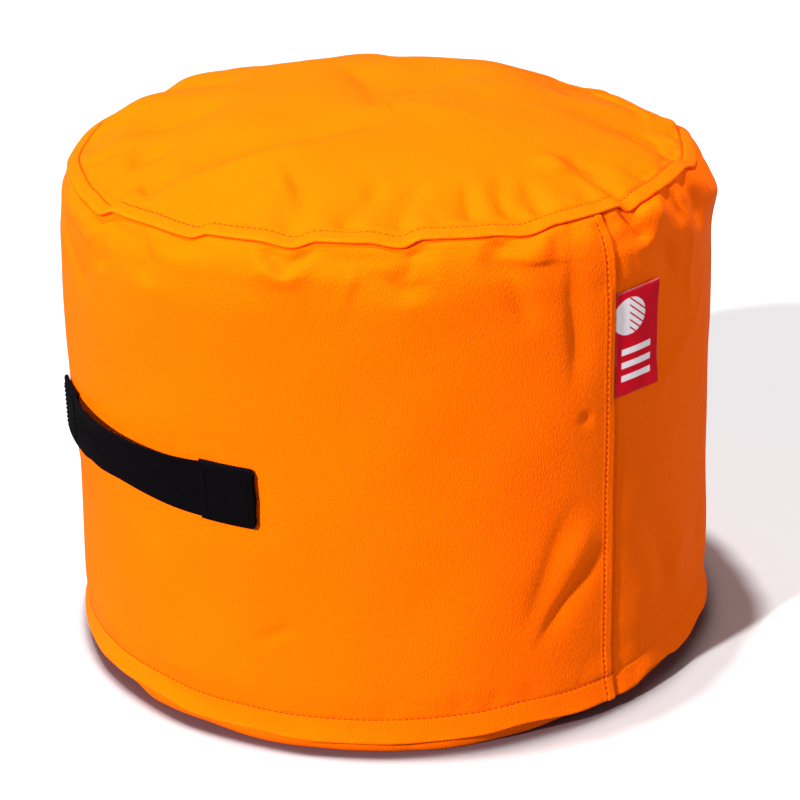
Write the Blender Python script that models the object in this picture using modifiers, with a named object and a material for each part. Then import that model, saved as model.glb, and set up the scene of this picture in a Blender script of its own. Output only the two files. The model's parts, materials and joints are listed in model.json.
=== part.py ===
"""Round bean bag pouf: a sewn leather-cloth cover with a carry handle, a flag label and a
zipped base, over a filled inner liner.

Frame: metres, +Z up. The origin is the middle of the base on the floor. The handle is centred
near -Y, the two side seams stand at +X and -X, and the label hangs in the +X seam.
Azimuths are in degrees, 0 at -Y and 90 at +X.
"""

import math

import bmesh
import bpy

# Cover
BODY_RADIUS = 0.2405  # outside of the wall at its narrow upper part
BODY_TAPER = 0.0025  # how much wider the wall is at the hem stitching
SEAM_HEIGHT = 0.3655  # floor to the top seam
SEAM_RADIUS = 0.2285  # outside of the top seam
SHOULDER_DROP = 0.036  # height of the rounded shoulder under the top seam
CROWN_RISE = 0.041  # how far the middle of the top stands above its seam
CROWN_POWER = 2.5  # how flat the middle of the top is
SEAM_ALLOWANCE = 0.009  # turned in under the top panel
LEATHER = 0.002  # cover material with its backing
HEM_STITCH_HEIGHT = 0.0275  # floor to the row of stitches round the hem
HEM_EDGE_HEIGHT = 0.0105  # floor to the folded lower edge
HEM_FLARE = 0.0033  # how much the free edge stands out
BASE_FLAT_RADIUS = 0.214  # the part of the base that lies on the floor
BASE_RIM_HEIGHT = 0.0255
GAP = 0.0003  # between pieces that touch
FIT = 0.0005  # between a piece and what is pushed inside it
AROUND = 72  # segments in a full turn

# Thread
THREAD_RADIUS = 0.0005
TOP_STITCH_INSET = 0.0095  # from the top seam in to its row of stitches
SIDE_STITCH_OFFSET = 0.0076  # from the side seam to its row of stitches

# Handle
HANDLE_AZIMUTH = 1.7
HANDLE_DROP = 0.1735  # from the top seam down to the middle of the webbing
WEBBING_WIDTH = 0.040
WEBBING = 0.0018
HANDLE_SPAN = 54.7  # degrees from end to end
HANDLE_SEWN = 9.5  # degrees sewn down at each end
HANDLE_BULGE = 0.0075  # slack that holds the middle of the grip off the wall
BOX_STITCH_INSET = 0.004
BACKING_MARGIN = 0.006  # backing patch beyond the sewn end
BACKING = 0.0015

# Label
LABEL_WIDTH = 0.041
LABEL_HEIGHT = 0.074
LABEL_DROP = 0.0515  # from the top seam down to the label
LABEL = 0.001
LABEL_CLEARANCE = 0.0006  # off the wall, so that it can turn
LABEL_HINGE_GAP = 0.0004

# Zip in the base
ZIP_Y = 0.075
ZIP_MARGIN = 0.0087  # from the end of the tape to the edge of the flat base
ZIP_TAPE_EXTRA = 0.014  # tape beyond the teeth at each end
ZIP_SLOT_WIDTH = 0.020
ZIP_SEWN_WIDTH = 0.008  # tape sewn under each panel edge
TAPE = 0.0008
TOOTH_WIDTH = 0.0024
TOOTH_HEIGHT = 0.0016
STOP_LENGTH = 0.003
SLIDER_LENGTH = 0.011
SLIDER_WALL = 0.0012
BRIDGE_BAR = 0.0008
BRIDGE_WIDTH = 0.002
BRIDGE_INSET = 0.0006  # from each end of the slider
BRIDGE_OPENING = 0.0027  # height inside the bridge, where the pull tab turns
BRIDGE_CLEARANCE = 0.0005  # from the floor up to the bridge
PULL_LENGTH = 0.030
PULL_WIDTH = 0.007
PULL = 0.0012
PULL_END_BAR = 0.0018
PULL_CLEARANCE = 0.0004  # between the bridge and the end of the pull tab's hole
PULL_SIDE_CLEARANCE = 0.0007

# Liner and filling
LINER = 0.001
LINER_CLEARANCE = 0.0035  # between the cover and the liner all round
LINER_LIFT = 0.0013  # from the zip's tape up to the liner
LINER_SHOULDER = 0.026
LINER_TOP_INSET = 0.005  # the liner's top seam lies inside the cover's
LINER_TOP_DROP = 0.003  # and under it
LINER_HEEL_SLOPE = 2.0  # how steeply the liner widens from its base
LINER_ZIP_LENGTH = 0.200
LINER_ZIP_WIDTH = 0.024
LINER_ZIP_Y = -0.045

# Sizes that follow from the ones above
HANDLE_HEIGHT = SEAM_HEIGHT - HANDLE_DROP
LABEL_BOTTOM = SEAM_HEIGHT - LABEL_DROP - LABEL_HEIGHT
HEM_RADIUS = BODY_RADIUS + BODY_TAPER
TOP_RIM_HEIGHT = SEAM_HEIGHT + GAP + LEATHER
CROWN_HEIGHT = TOP_RIM_HEIGHT + CROWN_RISE
BASE_RIM_RADIUS = HEM_RADIUS - LEATHER - FIT
SLIDER_UNDERSIDE = BRIDGE_CLEARANCE + BRIDGE_BAR + BRIDGE_OPENING
TOOTH_UNDERSIDE = SLIDER_UNDERSIDE + SLIDER_WALL + GAP
TAPE_UNDERSIDE = TOOTH_UNDERSIDE + TOOTH_HEIGHT + GAP
ZIP_TAPE_EDGE = ZIP_Y + ZIP_SLOT_WIDTH / 2 + ZIP_SEWN_WIDTH
ZIP_TAPE_REACH = math.sqrt(BASE_FLAT_RADIUS**2 - ZIP_TAPE_EDGE**2) - ZIP_MARGIN
ZIP_LENGTH = 2 * (ZIP_TAPE_REACH - ZIP_TAPE_EXTRA)
LINER_FLOOR = TAPE_UNDERSIDE + TAPE + LINER_LIFT
LINER_RADIUS = BODY_RADIUS - LEATHER - LINER_CLEARANCE
LINER_BASE_RADIUS = BASE_FLAT_RADIUS + LINER_FLOOR
LINER_HEEL_HEIGHT = LINER_FLOOR + LINER_HEEL_SLOPE * (LINER_RADIUS - LINER_BASE_RADIUS)
LINER_TOP_RADIUS = SEAM_RADIUS - LINER_TOP_INSET
LINER_TOP_HEIGHT = SEAM_HEIGHT - LEATHER - LINER_CLEARANCE - LINER_TOP_DROP
LINER_CROWN = CROWN_HEIGHT - LEATHER - LINER_CLEARANCE
SLIDER_X = ZIP_LENGTH / 2 - SLIDER_LENGTH / 2 - STOP_LENGTH
PULL_AXIS_HEIGHT = BRIDGE_CLEARANCE + BRIDGE_BAR + BRIDGE_OPENING / 2
BRIDGE_REACH = SLIDER_LENGTH / 2 - BRIDGE_INSET
BRIDGE_CORNER = math.hypot(BRIDGE_REACH, PULL_AXIS_HEIGHT - BRIDGE_CLEARANCE)
PULL_HOLE_WIDTH = BRIDGE_WIDTH + 2 * PULL_SIDE_CLEARANCE

# Finishes: colour, roughness, metallic
ORANGE_LEATHER = ("orange_leather", (1.0, 0.22, 0.004), 0.45, 0.0)
ORANGE_THREAD = ("orange_thread", (0.72, 0.12, 0.01), 0.7, 0.0)
BLACK_WEBBING = ("black_webbing", (0.006, 0.004, 0.008), 0.75, 0.0)
BLACK_THREAD = ("black_thread", (0.01, 0.008, 0.012), 0.7, 0.0)
BACKING_CLOTH = ("backing_cloth", (0.05, 0.05, 0.055), 0.85, 0.0)
RED_LABEL = ("red_label", (0.45, 0.0, 0.012), 0.6, 0.0)
ZIP_TAPE = ("zip_tape", (0.02, 0.018, 0.02), 0.8, 0.0)
ZIP_NYLON = ("zip_nylon", (0.03, 0.028, 0.03), 0.4, 0.0)
ZIP_METAL = ("zip_metal", (0.5, 0.5, 0.5), 0.35, 1.0)
LINER_CLOTH = ("liner_cloth", (0.8, 0.8, 0.78), 0.9, 0.0)
BEADS = ("beads", (0.9, 0.9, 0.9), 0.6, 0.0)


def new_collection(name, hidden=False):
    """A collection linked to the scene, for parts or for cutters."""
    collection = bpy.data.collections.new(name)
    bpy.context.scene.collection.children.link(collection)
    collection.hide_render = hidden
    return collection


def material(finish):
    """The Principled material of a finish, made once."""
    name, colour, roughness, metallic = finish
    if name in bpy.data.materials:
        return bpy.data.materials[name]
    made = bpy.data.materials.new(name)
    made.use_nodes = True
    shader = made.node_tree.nodes["Principled BSDF"]
    shader.inputs["Base Color"].default_value = (*colour, 1.0)
    shader.inputs["Roughness"].default_value = roughness
    shader.inputs["Metallic"].default_value = metallic
    made.diffuse_color = (*colour, 1.0)
    return made


def add_object(name, data, finish, collection):
    """Puts a mesh or curve in the collection as the sub-part of that name."""
    part = bpy.data.objects.new(name, data)
    data.materials.append(material(finish))
    collection.objects.link(part)
    return part


def on_wall(radius, azimuth, height):
    """The point at a radius, an azimuth and a height."""
    angle = math.radians(azimuth)
    return (radius * math.sin(angle), -radius * math.cos(angle), height)


def degrees_for(length, radius):
    """The angle that a length round the wall takes."""
    return math.degrees(length / radius)


def steps(first, last, count):
    """Evenly spaced values from first to last, count + 1 of them."""
    return [first + (last - first) * i / count for i in range(count + 1)]


def round_smooth(mesh, degrees=35):
    """Shades a mesh smooth, apart from its sharp edges."""
    mesh.shade_smooth()
    mesh.set_sharp_from_angle(angle=math.radians(degrees))


def turned(name, profile, finish, collection, turn=360.0, start=0.0, thickness=0.0):
    """Turns (radius, height) points, listed down the outside, about +Z. A thickness makes the
    open surface a shell that grows inwards."""
    mesh = bpy.data.meshes.new(name)
    points = [(radius, 0.0, height) for radius, height in profile]
    edges = [(i, i + 1) for i in range(len(points) - 1)]
    mesh.from_pydata(points, edges, [])
    part = add_object(name, mesh, finish, collection)
    part.rotation_euler.z = math.radians(start)
    screw = part.modifiers.new("turn", "SCREW")
    screw.angle = math.radians(turn)
    screw.steps = round(AROUND * turn / 360)
    screw.render_steps = screw.steps
    screw.use_merge_vertices = True
    screw.merge_threshold = 0.00005
    screw.use_smooth_shade = True
    if thickness:
        thicken(part, thickness, -1)
    return part


def thicken(part, thickness, side):
    """Solidify, inwards for side -1 and outwards for side 1."""
    solidify = part.modifiers.new("thickness", "SOLIDIFY")
    solidify.thickness = thickness
    solidify.offset = side
    solidify.use_even_offset = True
    solidify.use_quality_normals = True


def swept_sheet(name, path, vector, thickness, side, finish, collection):
    """A strip that sweeps a path along a vector, made solid to one side. Its side 1 is the way
    that the cross product of the path's direction and the vector points."""
    shape = bmesh.new()
    points = [shape.verts.new(point) for point in path]
    edges = [shape.edges.new(pair) for pair in zip(points, points[1:])]
    swept = bmesh.ops.extrude_edge_only(shape, edges=edges)
    moved = [item for item in swept["geom"] if isinstance(item, bmesh.types.BMVert)]
    bmesh.ops.translate(shape, verts=moved, vec=vector)
    bmesh.ops.reverse_faces(shape, faces=shape.faces)
    mesh = bpy.data.meshes.new(name)
    shape.to_mesh(mesh)
    shape.free()
    round_smooth(mesh)
    part = add_object(name, mesh, finish, collection)
    thicken(part, thickness, side)
    return part


def prism(name, outline, vector, finish, collection):
    """A flat outline of points pushed along a vector."""
    shape = bmesh.new()
    face = shape.faces.new([shape.verts.new(point) for point in outline])
    pushed = bmesh.ops.extrude_face_region(shape, geom=[face])
    moved = [item for item in pushed["geom"] if isinstance(item, bmesh.types.BMVert)]
    bmesh.ops.translate(shape, verts=moved, vec=vector)
    bmesh.ops.recalc_face_normals(shape, faces=shape.faces)
    mesh = bpy.data.meshes.new(name)
    shape.to_mesh(mesh)
    shape.free()
    return add_object(name, mesh, finish, collection)


def thread(name, points, finish, collection, closed=False):
    """A row of stitches as one thread along its points."""
    curve = bpy.data.curves.new(name, "CURVE")
    curve.dimensions = "3D"
    curve.bevel_depth = THREAD_RADIUS
    curve.bevel_resolution = 1
    curve.use_fill_caps = not closed
    line = curve.splines.new("POLY")
    line.points.add(len(points) - 1)
    for spot, point in zip(line.points, points):
        spot.co = (*point, 1.0)
    line.use_cyclic_u = closed
    return add_object(name, curve, finish, collection)


def boolean(part, cutter, operation):
    """An exact Boolean with a cutter that stays out of the model."""
    cut = part.modifiers.new(operation.lower(), "BOOLEAN")
    cut.object = cutter
    cut.operation = operation
    cut.solver = "EXACT"
    cutter.hide_render = True
    cutter.display_type = "WIRE"


def wall_outline():
    """The wall's outside from the turned-in allowance down to the folded hem."""
    outline = [(SEAM_RADIUS - SEAM_ALLOWANCE, SEAM_HEIGHT)]
    for angle in steps(0, math.pi / 2, 4):
        radius = SEAM_RADIUS + (BODY_RADIUS - SEAM_RADIUS) * math.sin(angle)
        height = SEAM_HEIGHT - SHOULDER_DROP * (1 - math.cos(angle))
        outline.append((radius, height))
    outline.append((HEM_RADIUS, HEM_STITCH_HEIGHT))
    outline.append((HEM_RADIUS + HEM_FLARE, HEM_EDGE_HEIGHT))
    return outline


def wall_radius(height):
    """The outside radius of the wall at a height below the shoulder and above the hem row."""
    top = SEAM_HEIGHT - SHOULDER_DROP
    share = (top - height) / (top - HEM_STITCH_HEIGHT)
    return BODY_RADIUS + BODY_TAPER * share


def build_side_panels(collection):
    """The two halves of the wall, which meet in the side seams."""
    half_gap = degrees_for(GAP / 2, BODY_RADIUS)
    turn = 180 - 2 * half_gap
    for name, start in (("side_panel_rear", half_gap), ("side_panel_front", 180 + half_gap)):
        turned(name, wall_outline(), ORANGE_LEATHER, collection, turn, start, LEATHER)


def crown_height(radius):
    """The top panel's outside height at a radius."""
    return TOP_RIM_HEIGHT + CROWN_RISE * (1 - (radius / SEAM_RADIUS) ** CROWN_POWER)


def build_top_panel(collection):
    """The domed round top, whose edge lies on the wall's allowance."""
    outline = [(radius, crown_height(radius)) for radius in steps(0, SEAM_RADIUS, 7)]
    turned("top_panel", outline, ORANGE_LEATHER, collection, thickness=LEATHER)


def base_outline():
    """The base's outside, from the top of its rim in to the middle."""
    outline = []
    for angle in steps(0, math.pi / 2, 4):
        radius = BASE_FLAT_RADIUS + (BASE_RIM_RADIUS - BASE_FLAT_RADIUS) * math.cos(angle)
        height = BASE_RIM_HEIGHT * (1 - math.sin(angle))
        outline.append((radius, height))
    outline.append((0.0, 0.0))
    return outline


def zip_cutter(name, side, collection):
    """What one base panel lacks: all beyond the zip line, and the zip's own slot."""
    far = side * 2 * BASE_RIM_RADIUS
    near = -side * GAP / 2
    slot = -side * ZIP_SLOT_WIDTH / 2
    half = ZIP_TAPE_REACH
    wide = 2 * BASE_RIM_RADIUS
    outline = [(-wide, far), (-wide, near), (-half, near), (-half, slot)]
    outline += [(-x, y) for x, y in reversed(outline)]
    below = -BASE_RIM_HEIGHT
    points = [(x, ZIP_Y + y, below) for x, y in outline]
    cutter = prism(name, points, (0, 0, 3 * BASE_RIM_HEIGHT), ORANGE_LEATHER, collection)
    return cutter


def build_base_panels(collection, cutters):
    """The base in two pieces, either side of the zip."""
    for name, side in (("base_panel_front", 1), ("base_panel_rear", -1)):
        part = turned(name, base_outline(), ORANGE_LEATHER, collection, thickness=LEATHER)
        boolean(part, zip_cutter(f"{name}_cutter", side, cutters), "DIFFERENCE")


def build_seam_threads(collection):
    """The rows of stitches round the top, round the hem and down both side seams."""
    lift = GAP + THREAD_RADIUS
    angles = steps(0, 360, AROUND)[:-1]
    radius = SEAM_RADIUS - TOP_STITCH_INSET
    height = crown_height(radius) + 1.5 * lift
    ring = [on_wall(radius, azimuth, height) for azimuth in angles]
    thread("top_topstitch", ring, ORANGE_THREAD, collection, closed=True)
    ring = [on_wall(HEM_RADIUS + lift, azimuth, HEM_STITCH_HEIGHT) for azimuth in angles]
    thread("hem_topstitch", ring, ORANGE_THREAD, collection, closed=True)
    offset = degrees_for(SIDE_STITCH_OFFSET, BODY_RADIUS)
    outline = [(r, z) for r, z in wall_outline()[2:-1]]
    outline[-1] = (wall_radius(HEM_STITCH_HEIGHT + 4 * lift), HEM_STITCH_HEIGHT + 4 * lift)
    for name, azimuth in (("right", 90 - offset), ("left", offset - 90)):
        line = [on_wall(r + lift, azimuth, z + lift / 2) for r, z in outline]
        thread(f"side_topstitch_{name}", line, ORANGE_THREAD, collection)


def handle_azimuths():
    """Where the webbing ends and where its grip begins, from left to right."""
    left = HANDLE_AZIMUTH - HANDLE_SPAN / 2
    right = HANDLE_AZIMUTH + HANDLE_SPAN / 2
    return left, left + HANDLE_SEWN, right - HANDLE_SEWN, right


def webbing_inner():
    """The radius of the face that lies on the wall, which is widest at the lower edge."""
    return wall_radius(HANDLE_HEIGHT - WEBBING_WIDTH / 2) + GAP


def webbing(name, azimuths, radii, thickness, collection):
    """A length of webbing on edge, with its inner face at the given radii."""
    bottom = HANDLE_HEIGHT - WEBBING_WIDTH / 2
    path = [on_wall(radius, azimuth, bottom) for azimuth, radius in zip(azimuths, radii)]
    up = (0, 0, WEBBING_WIDTH)
    return swept_sheet(name, path, up, thickness, 1, BLACK_WEBBING, collection)


def build_handle(collection):
    """The carry handle: two sewn ends, folded double, and the free grip between them."""
    left, grip_left, grip_right, right = handle_azimuths()
    inner = webbing_inner()
    for name, first, last in (("left", left, grip_left), ("right", grip_right, right)):
        azimuths = steps(first, last, 4)
        radii = [inner] * len(azimuths)
        webbing(f"handle_end_{name}", azimuths, radii, 2 * WEBBING, collection)
    space = degrees_for(GAP, inner)
    shares = steps(-1, 1, 24)
    middle = (grip_left + grip_right) / 2
    half = (grip_right - grip_left) / 2 - space
    azimuths = [middle + half * share for share in shares]
    radii = [inner + WEBBING + HANDLE_BULGE * (1 - share**2) for share in shares]
    webbing("handle_grip", azimuths, radii, WEBBING, collection)


def build_handle_sewing(collection):
    """A square of stitches on each sewn end, and the patch that backs it inside the wall."""
    left, grip_left, grip_right, right = handle_azimuths()
    face = webbing_inner() + 2 * WEBBING + GAP + THREAD_RADIUS
    inset = degrees_for(BOX_STITCH_INSET, face)
    half = WEBBING_WIDTH / 2 - BOX_STITCH_INSET
    low, high = HANDLE_HEIGHT - half, HANDLE_HEIGHT + half
    for name, first, last in (("left", left, grip_left), ("right", grip_right, right)):
        across = steps(first + inset, last - inset, 4)
        square = [on_wall(face, azimuth, low) for azimuth in across]
        square += [on_wall(face, azimuth, high) for azimuth in reversed(across)]
        thread(f"handle_stitch_{name}", square, BLACK_THREAD, collection, closed=True)
        build_backing(f"handle_backing_{name}", first, last, collection)


def build_backing(name, first, last, collection):
    """A patch inside the wall behind one sewn end."""
    inner = BODY_RADIUS - LEATHER - FIT
    margin = degrees_for(BACKING_MARGIN, inner)
    bottom = HANDLE_HEIGHT - WEBBING_WIDTH / 2 - BACKING_MARGIN
    path = [on_wall(inner, azimuth, bottom) for azimuth in steps(first - margin, last + margin, 6)]
    up = (0, 0, WEBBING_WIDTH + 2 * BACKING_MARGIN)
    swept_sheet(name, path, up, BACKING, -1, BACKING_CLOTH, collection)


def label_hinge():
    """The label's turning line, just outside the +X seam."""
    radius = wall_radius(LABEL_BOTTOM) + LABEL_CLEARANCE + LABEL / 2
    return (radius, 0.0, LABEL_BOTTOM + LABEL_HEIGHT / 2)


def build_label(collection):
    """The flag label, sewn into the side seam along one edge; its origin is on that edge."""
    hinge = label_hinge()
    inner = wall_radius(LABEL_BOTTOM) + LABEL_CLEARANCE
    first = 90 + degrees_for(LABEL_HINGE_GAP, inner)
    last = first + degrees_for(LABEL_WIDTH, inner)
    path = []
    for azimuth in steps(first, last, 6):
        x, y, _ = on_wall(inner, azimuth, 0)
        path.append((x - hinge[0], y - hinge[1], -LABEL_HEIGHT / 2))
    up = (0, 0, LABEL_HEIGHT)
    label = swept_sheet("label_tag", path, up, LABEL, 1, RED_LABEL, collection)
    label.location = hinge


def build_zip_tapes(collection):
    """Each tape is sewn on its panel and slopes up to its row of teeth; the slider runs below."""
    start = GAP - ZIP_TAPE_REACH
    sewn = LEATHER + GAP
    slot = ZIP_SLOT_WIDTH / 2
    teeth = GAP + TOOTH_WIDTH + SLIDER_WALL
    section = [
        (GAP, TAPE_UNDERSIDE),
        (teeth, TAPE_UNDERSIDE),
        (slot, sewn),
        (slot + ZIP_SEWN_WIDTH, sewn),
    ]
    for name, side in (("front", -1), ("rear", 1)):
        path = [(start, ZIP_Y + side * y, z) for y, z in section]
        along = (-2 * start, 0, 0)
        upward = -side
        swept_sheet(f"zip_tape_{name}", path, along, TAPE, upward, ZIP_TAPE, collection)


def box_outline(low, high, x):
    """A rectangle from one (y, z) corner to the other, at one x."""
    return [(x, low[0], low[1]), (x, high[0], low[1]), (x, high[0], high[1]), (x, low[0], high[1])]


def build_zip_teeth(collection):
    """The two rows of teeth, closed, and a stop at each end of them."""
    top = TOOTH_UNDERSIDE + TOOTH_HEIGHT
    for name, side in (("front", -1), ("rear", 1)):
        inner, outer = side * GAP / 2, side * (GAP / 2 + TOOTH_WIDTH)
        low = (ZIP_Y + min(inner, outer), TOOTH_UNDERSIDE)
        high = (ZIP_Y + max(inner, outer), top)
        outline = box_outline(low, high, -ZIP_LENGTH / 2)
        prism(f"zip_teeth_{name}", outline, (ZIP_LENGTH, 0, 0), ZIP_NYLON, collection)
    for name, side in (("left", -1), ("right", 1)):
        half = TOOTH_WIDTH + GAP
        start = side * (ZIP_LENGTH / 2 + GAP)
        outline = box_outline((ZIP_Y - half, TOOTH_UNDERSIDE), (ZIP_Y + half, top), start)
        prism(f"zip_stop_{name}", outline, (side * STOP_LENGTH, 0, 0), ZIP_METAL, collection)


def build_zip_slider(collection, cutters):
    """A channel that runs under the teeth, with the bridge that holds the pull tab. Its origin
    is on the zip's line."""
    half = SLIDER_LENGTH / 2
    inner = GAP / 2 + TOOTH_WIDTH + GAP
    outer = inner + SLIDER_WALL
    floor = SLIDER_UNDERSIDE
    web = floor + SLIDER_WALL
    top = TOOTH_UNDERSIDE + TOOTH_HEIGHT
    channel = [(-outer, floor), (outer, floor), (outer, top), (inner, top)]
    channel += [(inner, web), (-inner, web), (-inner, top), (-outer, top)]
    points = [(-half, y, z) for y, z in channel]
    slider = prism("zip_slider", points, (SLIDER_LENGTH, 0, 0), ZIP_METAL, collection)
    slider.location = (SLIDER_X, ZIP_Y, 0)
    reach = BRIDGE_REACH
    opening = reach - BRIDGE_BAR
    low = BRIDGE_CLEARANCE
    root = floor + SLIDER_WALL / 2
    arch = [(-reach, root), (-reach, low), (reach, low)]
    arch += [(reach, root), (opening, root), (opening, low + BRIDGE_BAR)]
    arch += [(-opening, low + BRIDGE_BAR), (-opening, root)]
    points = [(x, -BRIDGE_WIDTH / 2, z) for x, z in arch]
    bridge = prism("bridge", points, (0, BRIDGE_WIDTH, 0), ZIP_METAL, cutters)
    bridge.location = slider.location
    boolean(slider, bridge, "UNION")


def build_zip_pull(collection):
    """The pull tab, flat under the zip; its origin is the line that it turns about."""
    curve = bpy.data.curves.new("zip_pull", "CURVE")
    curve.dimensions = "2D"
    curve.fill_mode = "BOTH"
    curve.extrude = PULL / 2
    near = PULL_END_BAR / 2
    wide = PULL_WIDTH / 2
    end = near - PULL_LENGTH
    corner = PULL_WIDTH / 4
    outer = [(near, -wide + corner), (near, wide - corner), (near - corner, wide)]
    outer += [(end + corner, wide), (end, wide - corner), (end, -wide + corner)]
    outer += [(end + corner, -wide), (near - corner, -wide)]
    narrow = PULL_HOLE_WIDTH / 2
    far = -BRIDGE_CORNER - PULL_CLEARANCE
    hole = [(-near, -narrow), (far, -narrow), (far, narrow), (-near, narrow)]
    for outline in (outer, hole):
        line = curve.splines.new("POLY")
        line.points.add(len(outline) - 1)
        for spot, (x, y) in zip(line.points, outline):
            spot.co = (x, y, 0.0, 1.0)
        line.use_cyclic_u = True
    pull = add_object("zip_pull", curve, ZIP_METAL, collection)
    pull.location = (SLIDER_X, ZIP_Y, PULL_AXIS_HEIGHT)


def liner_crown(radius, edge_radius, edge_height, crown):
    """A dome from an edge up to its middle."""
    return edge_height + (crown - edge_height) * (1 - (radius / edge_radius) ** CROWN_POWER)


def build_liner(collection):
    """The inner bag: a tube, a domed top, a base, and the zip that it is filled through."""
    shoulder = LINER_TOP_HEIGHT - LINER_SHOULDER
    tube = []
    for angle in steps(0, math.pi / 2, 3):
        radius = LINER_TOP_RADIUS + (LINER_RADIUS - LINER_TOP_RADIUS) * math.sin(angle)
        tube.append((radius, shoulder + LINER_SHOULDER * math.cos(angle)))
    tube.append((LINER_RADIUS, LINER_HEEL_HEIGHT))
    tube.append((LINER_BASE_RADIUS, LINER_FLOOR + LINER + GAP))
    turned("liner_wall", tube, LINER_CLOTH, collection, thickness=LINER)
    edge = LINER_TOP_HEIGHT + LINER + GAP
    dome = []
    for radius in steps(0, LINER_TOP_RADIUS, 5):
        dome.append((radius, liner_crown(radius, LINER_TOP_RADIUS, edge, LINER_CROWN)))
    turned("liner_top", dome, LINER_CLOTH, collection, thickness=LINER)
    disc = [(LINER_BASE_RADIUS, LINER_FLOOR), (0.0, LINER_FLOOR)]
    turned("liner_base", disc, LINER_CLOTH, collection, thickness=LINER)
    build_liner_zip(collection)


def build_liner_zip(collection):
    """The short closed zip under the liner."""
    low = (LINER_ZIP_Y - LINER_ZIP_WIDTH / 2, LINER_FLOOR - GAP - TAPE)
    high = (LINER_ZIP_Y + LINER_ZIP_WIDTH / 2, LINER_FLOOR - GAP)
    outline = box_outline(low, high, -LINER_ZIP_LENGTH / 2)
    prism("liner_zip", outline, (LINER_ZIP_LENGTH, 0, 0), LINER_CLOTH, collection)


def build_filling(collection):
    """The settled beads, which fill the liner."""
    inner = LINER_RADIUS - LINER - FIT
    inset = LINER + FIT
    shoulder = LINER_TOP_HEIGHT - LINER_SHOULDER
    top_radius = LINER_TOP_RADIUS - inset
    edge = LINER_TOP_HEIGHT - inset
    outline = []
    for radius in steps(0, top_radius, 5):
        outline.append((radius, liner_crown(radius, top_radius, edge, LINER_CROWN - inset)))
    for angle in steps(0, math.pi / 2, 3)[1:]:
        radius = top_radius + (inner - top_radius) * math.sin(angle)
        outline.append((radius, shoulder + (edge - shoulder) * math.cos(angle)))
    floor = LINER_FLOOR + LINER + FIT
    outline += [(inner, LINER_HEEL_HEIGHT), (LINER_BASE_RADIUS - inset, floor), (0.0, floor)]
    turned("bead_filling", outline, BEADS, collection)


def main():
    """Clears the scene and builds the pouf."""
    for old in list(bpy.data.objects):
        bpy.data.objects.remove(old, do_unlink=True)
    parts = new_collection("bean_bag_pouf")
    cutters = new_collection("cutters", hidden=True)
    build_top_panel(parts)
    build_side_panels(parts)
    build_base_panels(parts, cutters)
    build_seam_threads(parts)
    build_handle(parts)
    build_handle_sewing(parts)
    build_label(parts)
    build_zip_tapes(parts)
    build_zip_teeth(parts)
    build_zip_slider(parts, cutters)
    build_zip_pull(parts)
    build_liner(parts)
    build_filling(parts)


main()
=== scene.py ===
"""Looks of a round bean bag pouf.

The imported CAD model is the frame, in metres with +Z up. The middle of the base is the origin, the
carry handle is near -Y and the side seams stand at +X and -X. Azimuths are in degrees, 0 at -Y and
90 at +X. A wall place is an azimuth and a run, the length down the cloth from the top seam.
"""

import bpy
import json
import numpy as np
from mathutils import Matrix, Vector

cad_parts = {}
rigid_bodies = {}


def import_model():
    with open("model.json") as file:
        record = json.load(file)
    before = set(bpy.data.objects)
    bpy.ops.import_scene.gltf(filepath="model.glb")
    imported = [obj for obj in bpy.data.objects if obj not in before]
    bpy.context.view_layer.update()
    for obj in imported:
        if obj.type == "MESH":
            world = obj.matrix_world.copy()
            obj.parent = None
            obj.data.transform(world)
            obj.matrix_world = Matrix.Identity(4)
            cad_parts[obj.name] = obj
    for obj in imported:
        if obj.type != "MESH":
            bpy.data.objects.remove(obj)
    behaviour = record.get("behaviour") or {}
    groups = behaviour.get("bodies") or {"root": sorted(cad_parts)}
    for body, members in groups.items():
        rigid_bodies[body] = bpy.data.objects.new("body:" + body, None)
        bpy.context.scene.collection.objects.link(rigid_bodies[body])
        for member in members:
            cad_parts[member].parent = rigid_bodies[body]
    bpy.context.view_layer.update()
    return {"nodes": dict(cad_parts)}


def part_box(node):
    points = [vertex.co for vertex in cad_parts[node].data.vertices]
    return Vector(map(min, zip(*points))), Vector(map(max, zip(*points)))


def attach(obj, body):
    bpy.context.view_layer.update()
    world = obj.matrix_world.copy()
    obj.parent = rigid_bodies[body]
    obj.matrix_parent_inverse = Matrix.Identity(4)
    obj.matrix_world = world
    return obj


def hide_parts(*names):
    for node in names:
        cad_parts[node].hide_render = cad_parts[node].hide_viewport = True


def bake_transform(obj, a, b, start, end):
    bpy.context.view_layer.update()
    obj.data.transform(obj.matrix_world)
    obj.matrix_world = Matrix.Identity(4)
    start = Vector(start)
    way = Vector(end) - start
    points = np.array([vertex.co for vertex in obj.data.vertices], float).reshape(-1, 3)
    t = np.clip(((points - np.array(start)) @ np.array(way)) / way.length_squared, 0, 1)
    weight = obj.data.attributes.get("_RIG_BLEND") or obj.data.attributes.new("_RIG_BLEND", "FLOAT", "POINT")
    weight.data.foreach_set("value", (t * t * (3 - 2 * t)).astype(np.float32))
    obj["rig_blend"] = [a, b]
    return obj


for left_over in list(bpy.data.objects):
    bpy.data.objects.remove(left_over, do_unlink=True)
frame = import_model()

import json
import logging
import math
from dataclasses import dataclass
from enum import Enum

import bmesh
import numpy as np
from mathutils import Matrix, Vector

LOG = logging.getLogger("pouf")
CLOTH = "cloth"  # each point's place on its flat cloth, in metres
WEAR = "wear"  # 0 on flat cloth, 1 on a folded edge
AROUND = 720  # mesh columns in a full turn of the cover

Array = np.ndarray
Colour = tuple[float, float, float]


class Body(Enum):
    """The rigid bodies that the pieces ride on."""

    COVER = "cover"
    HANDLE = "handle"
    LABEL = "label"
    SLIDER = "slider"
    PULL_TAB = "pull_tab"


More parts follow.
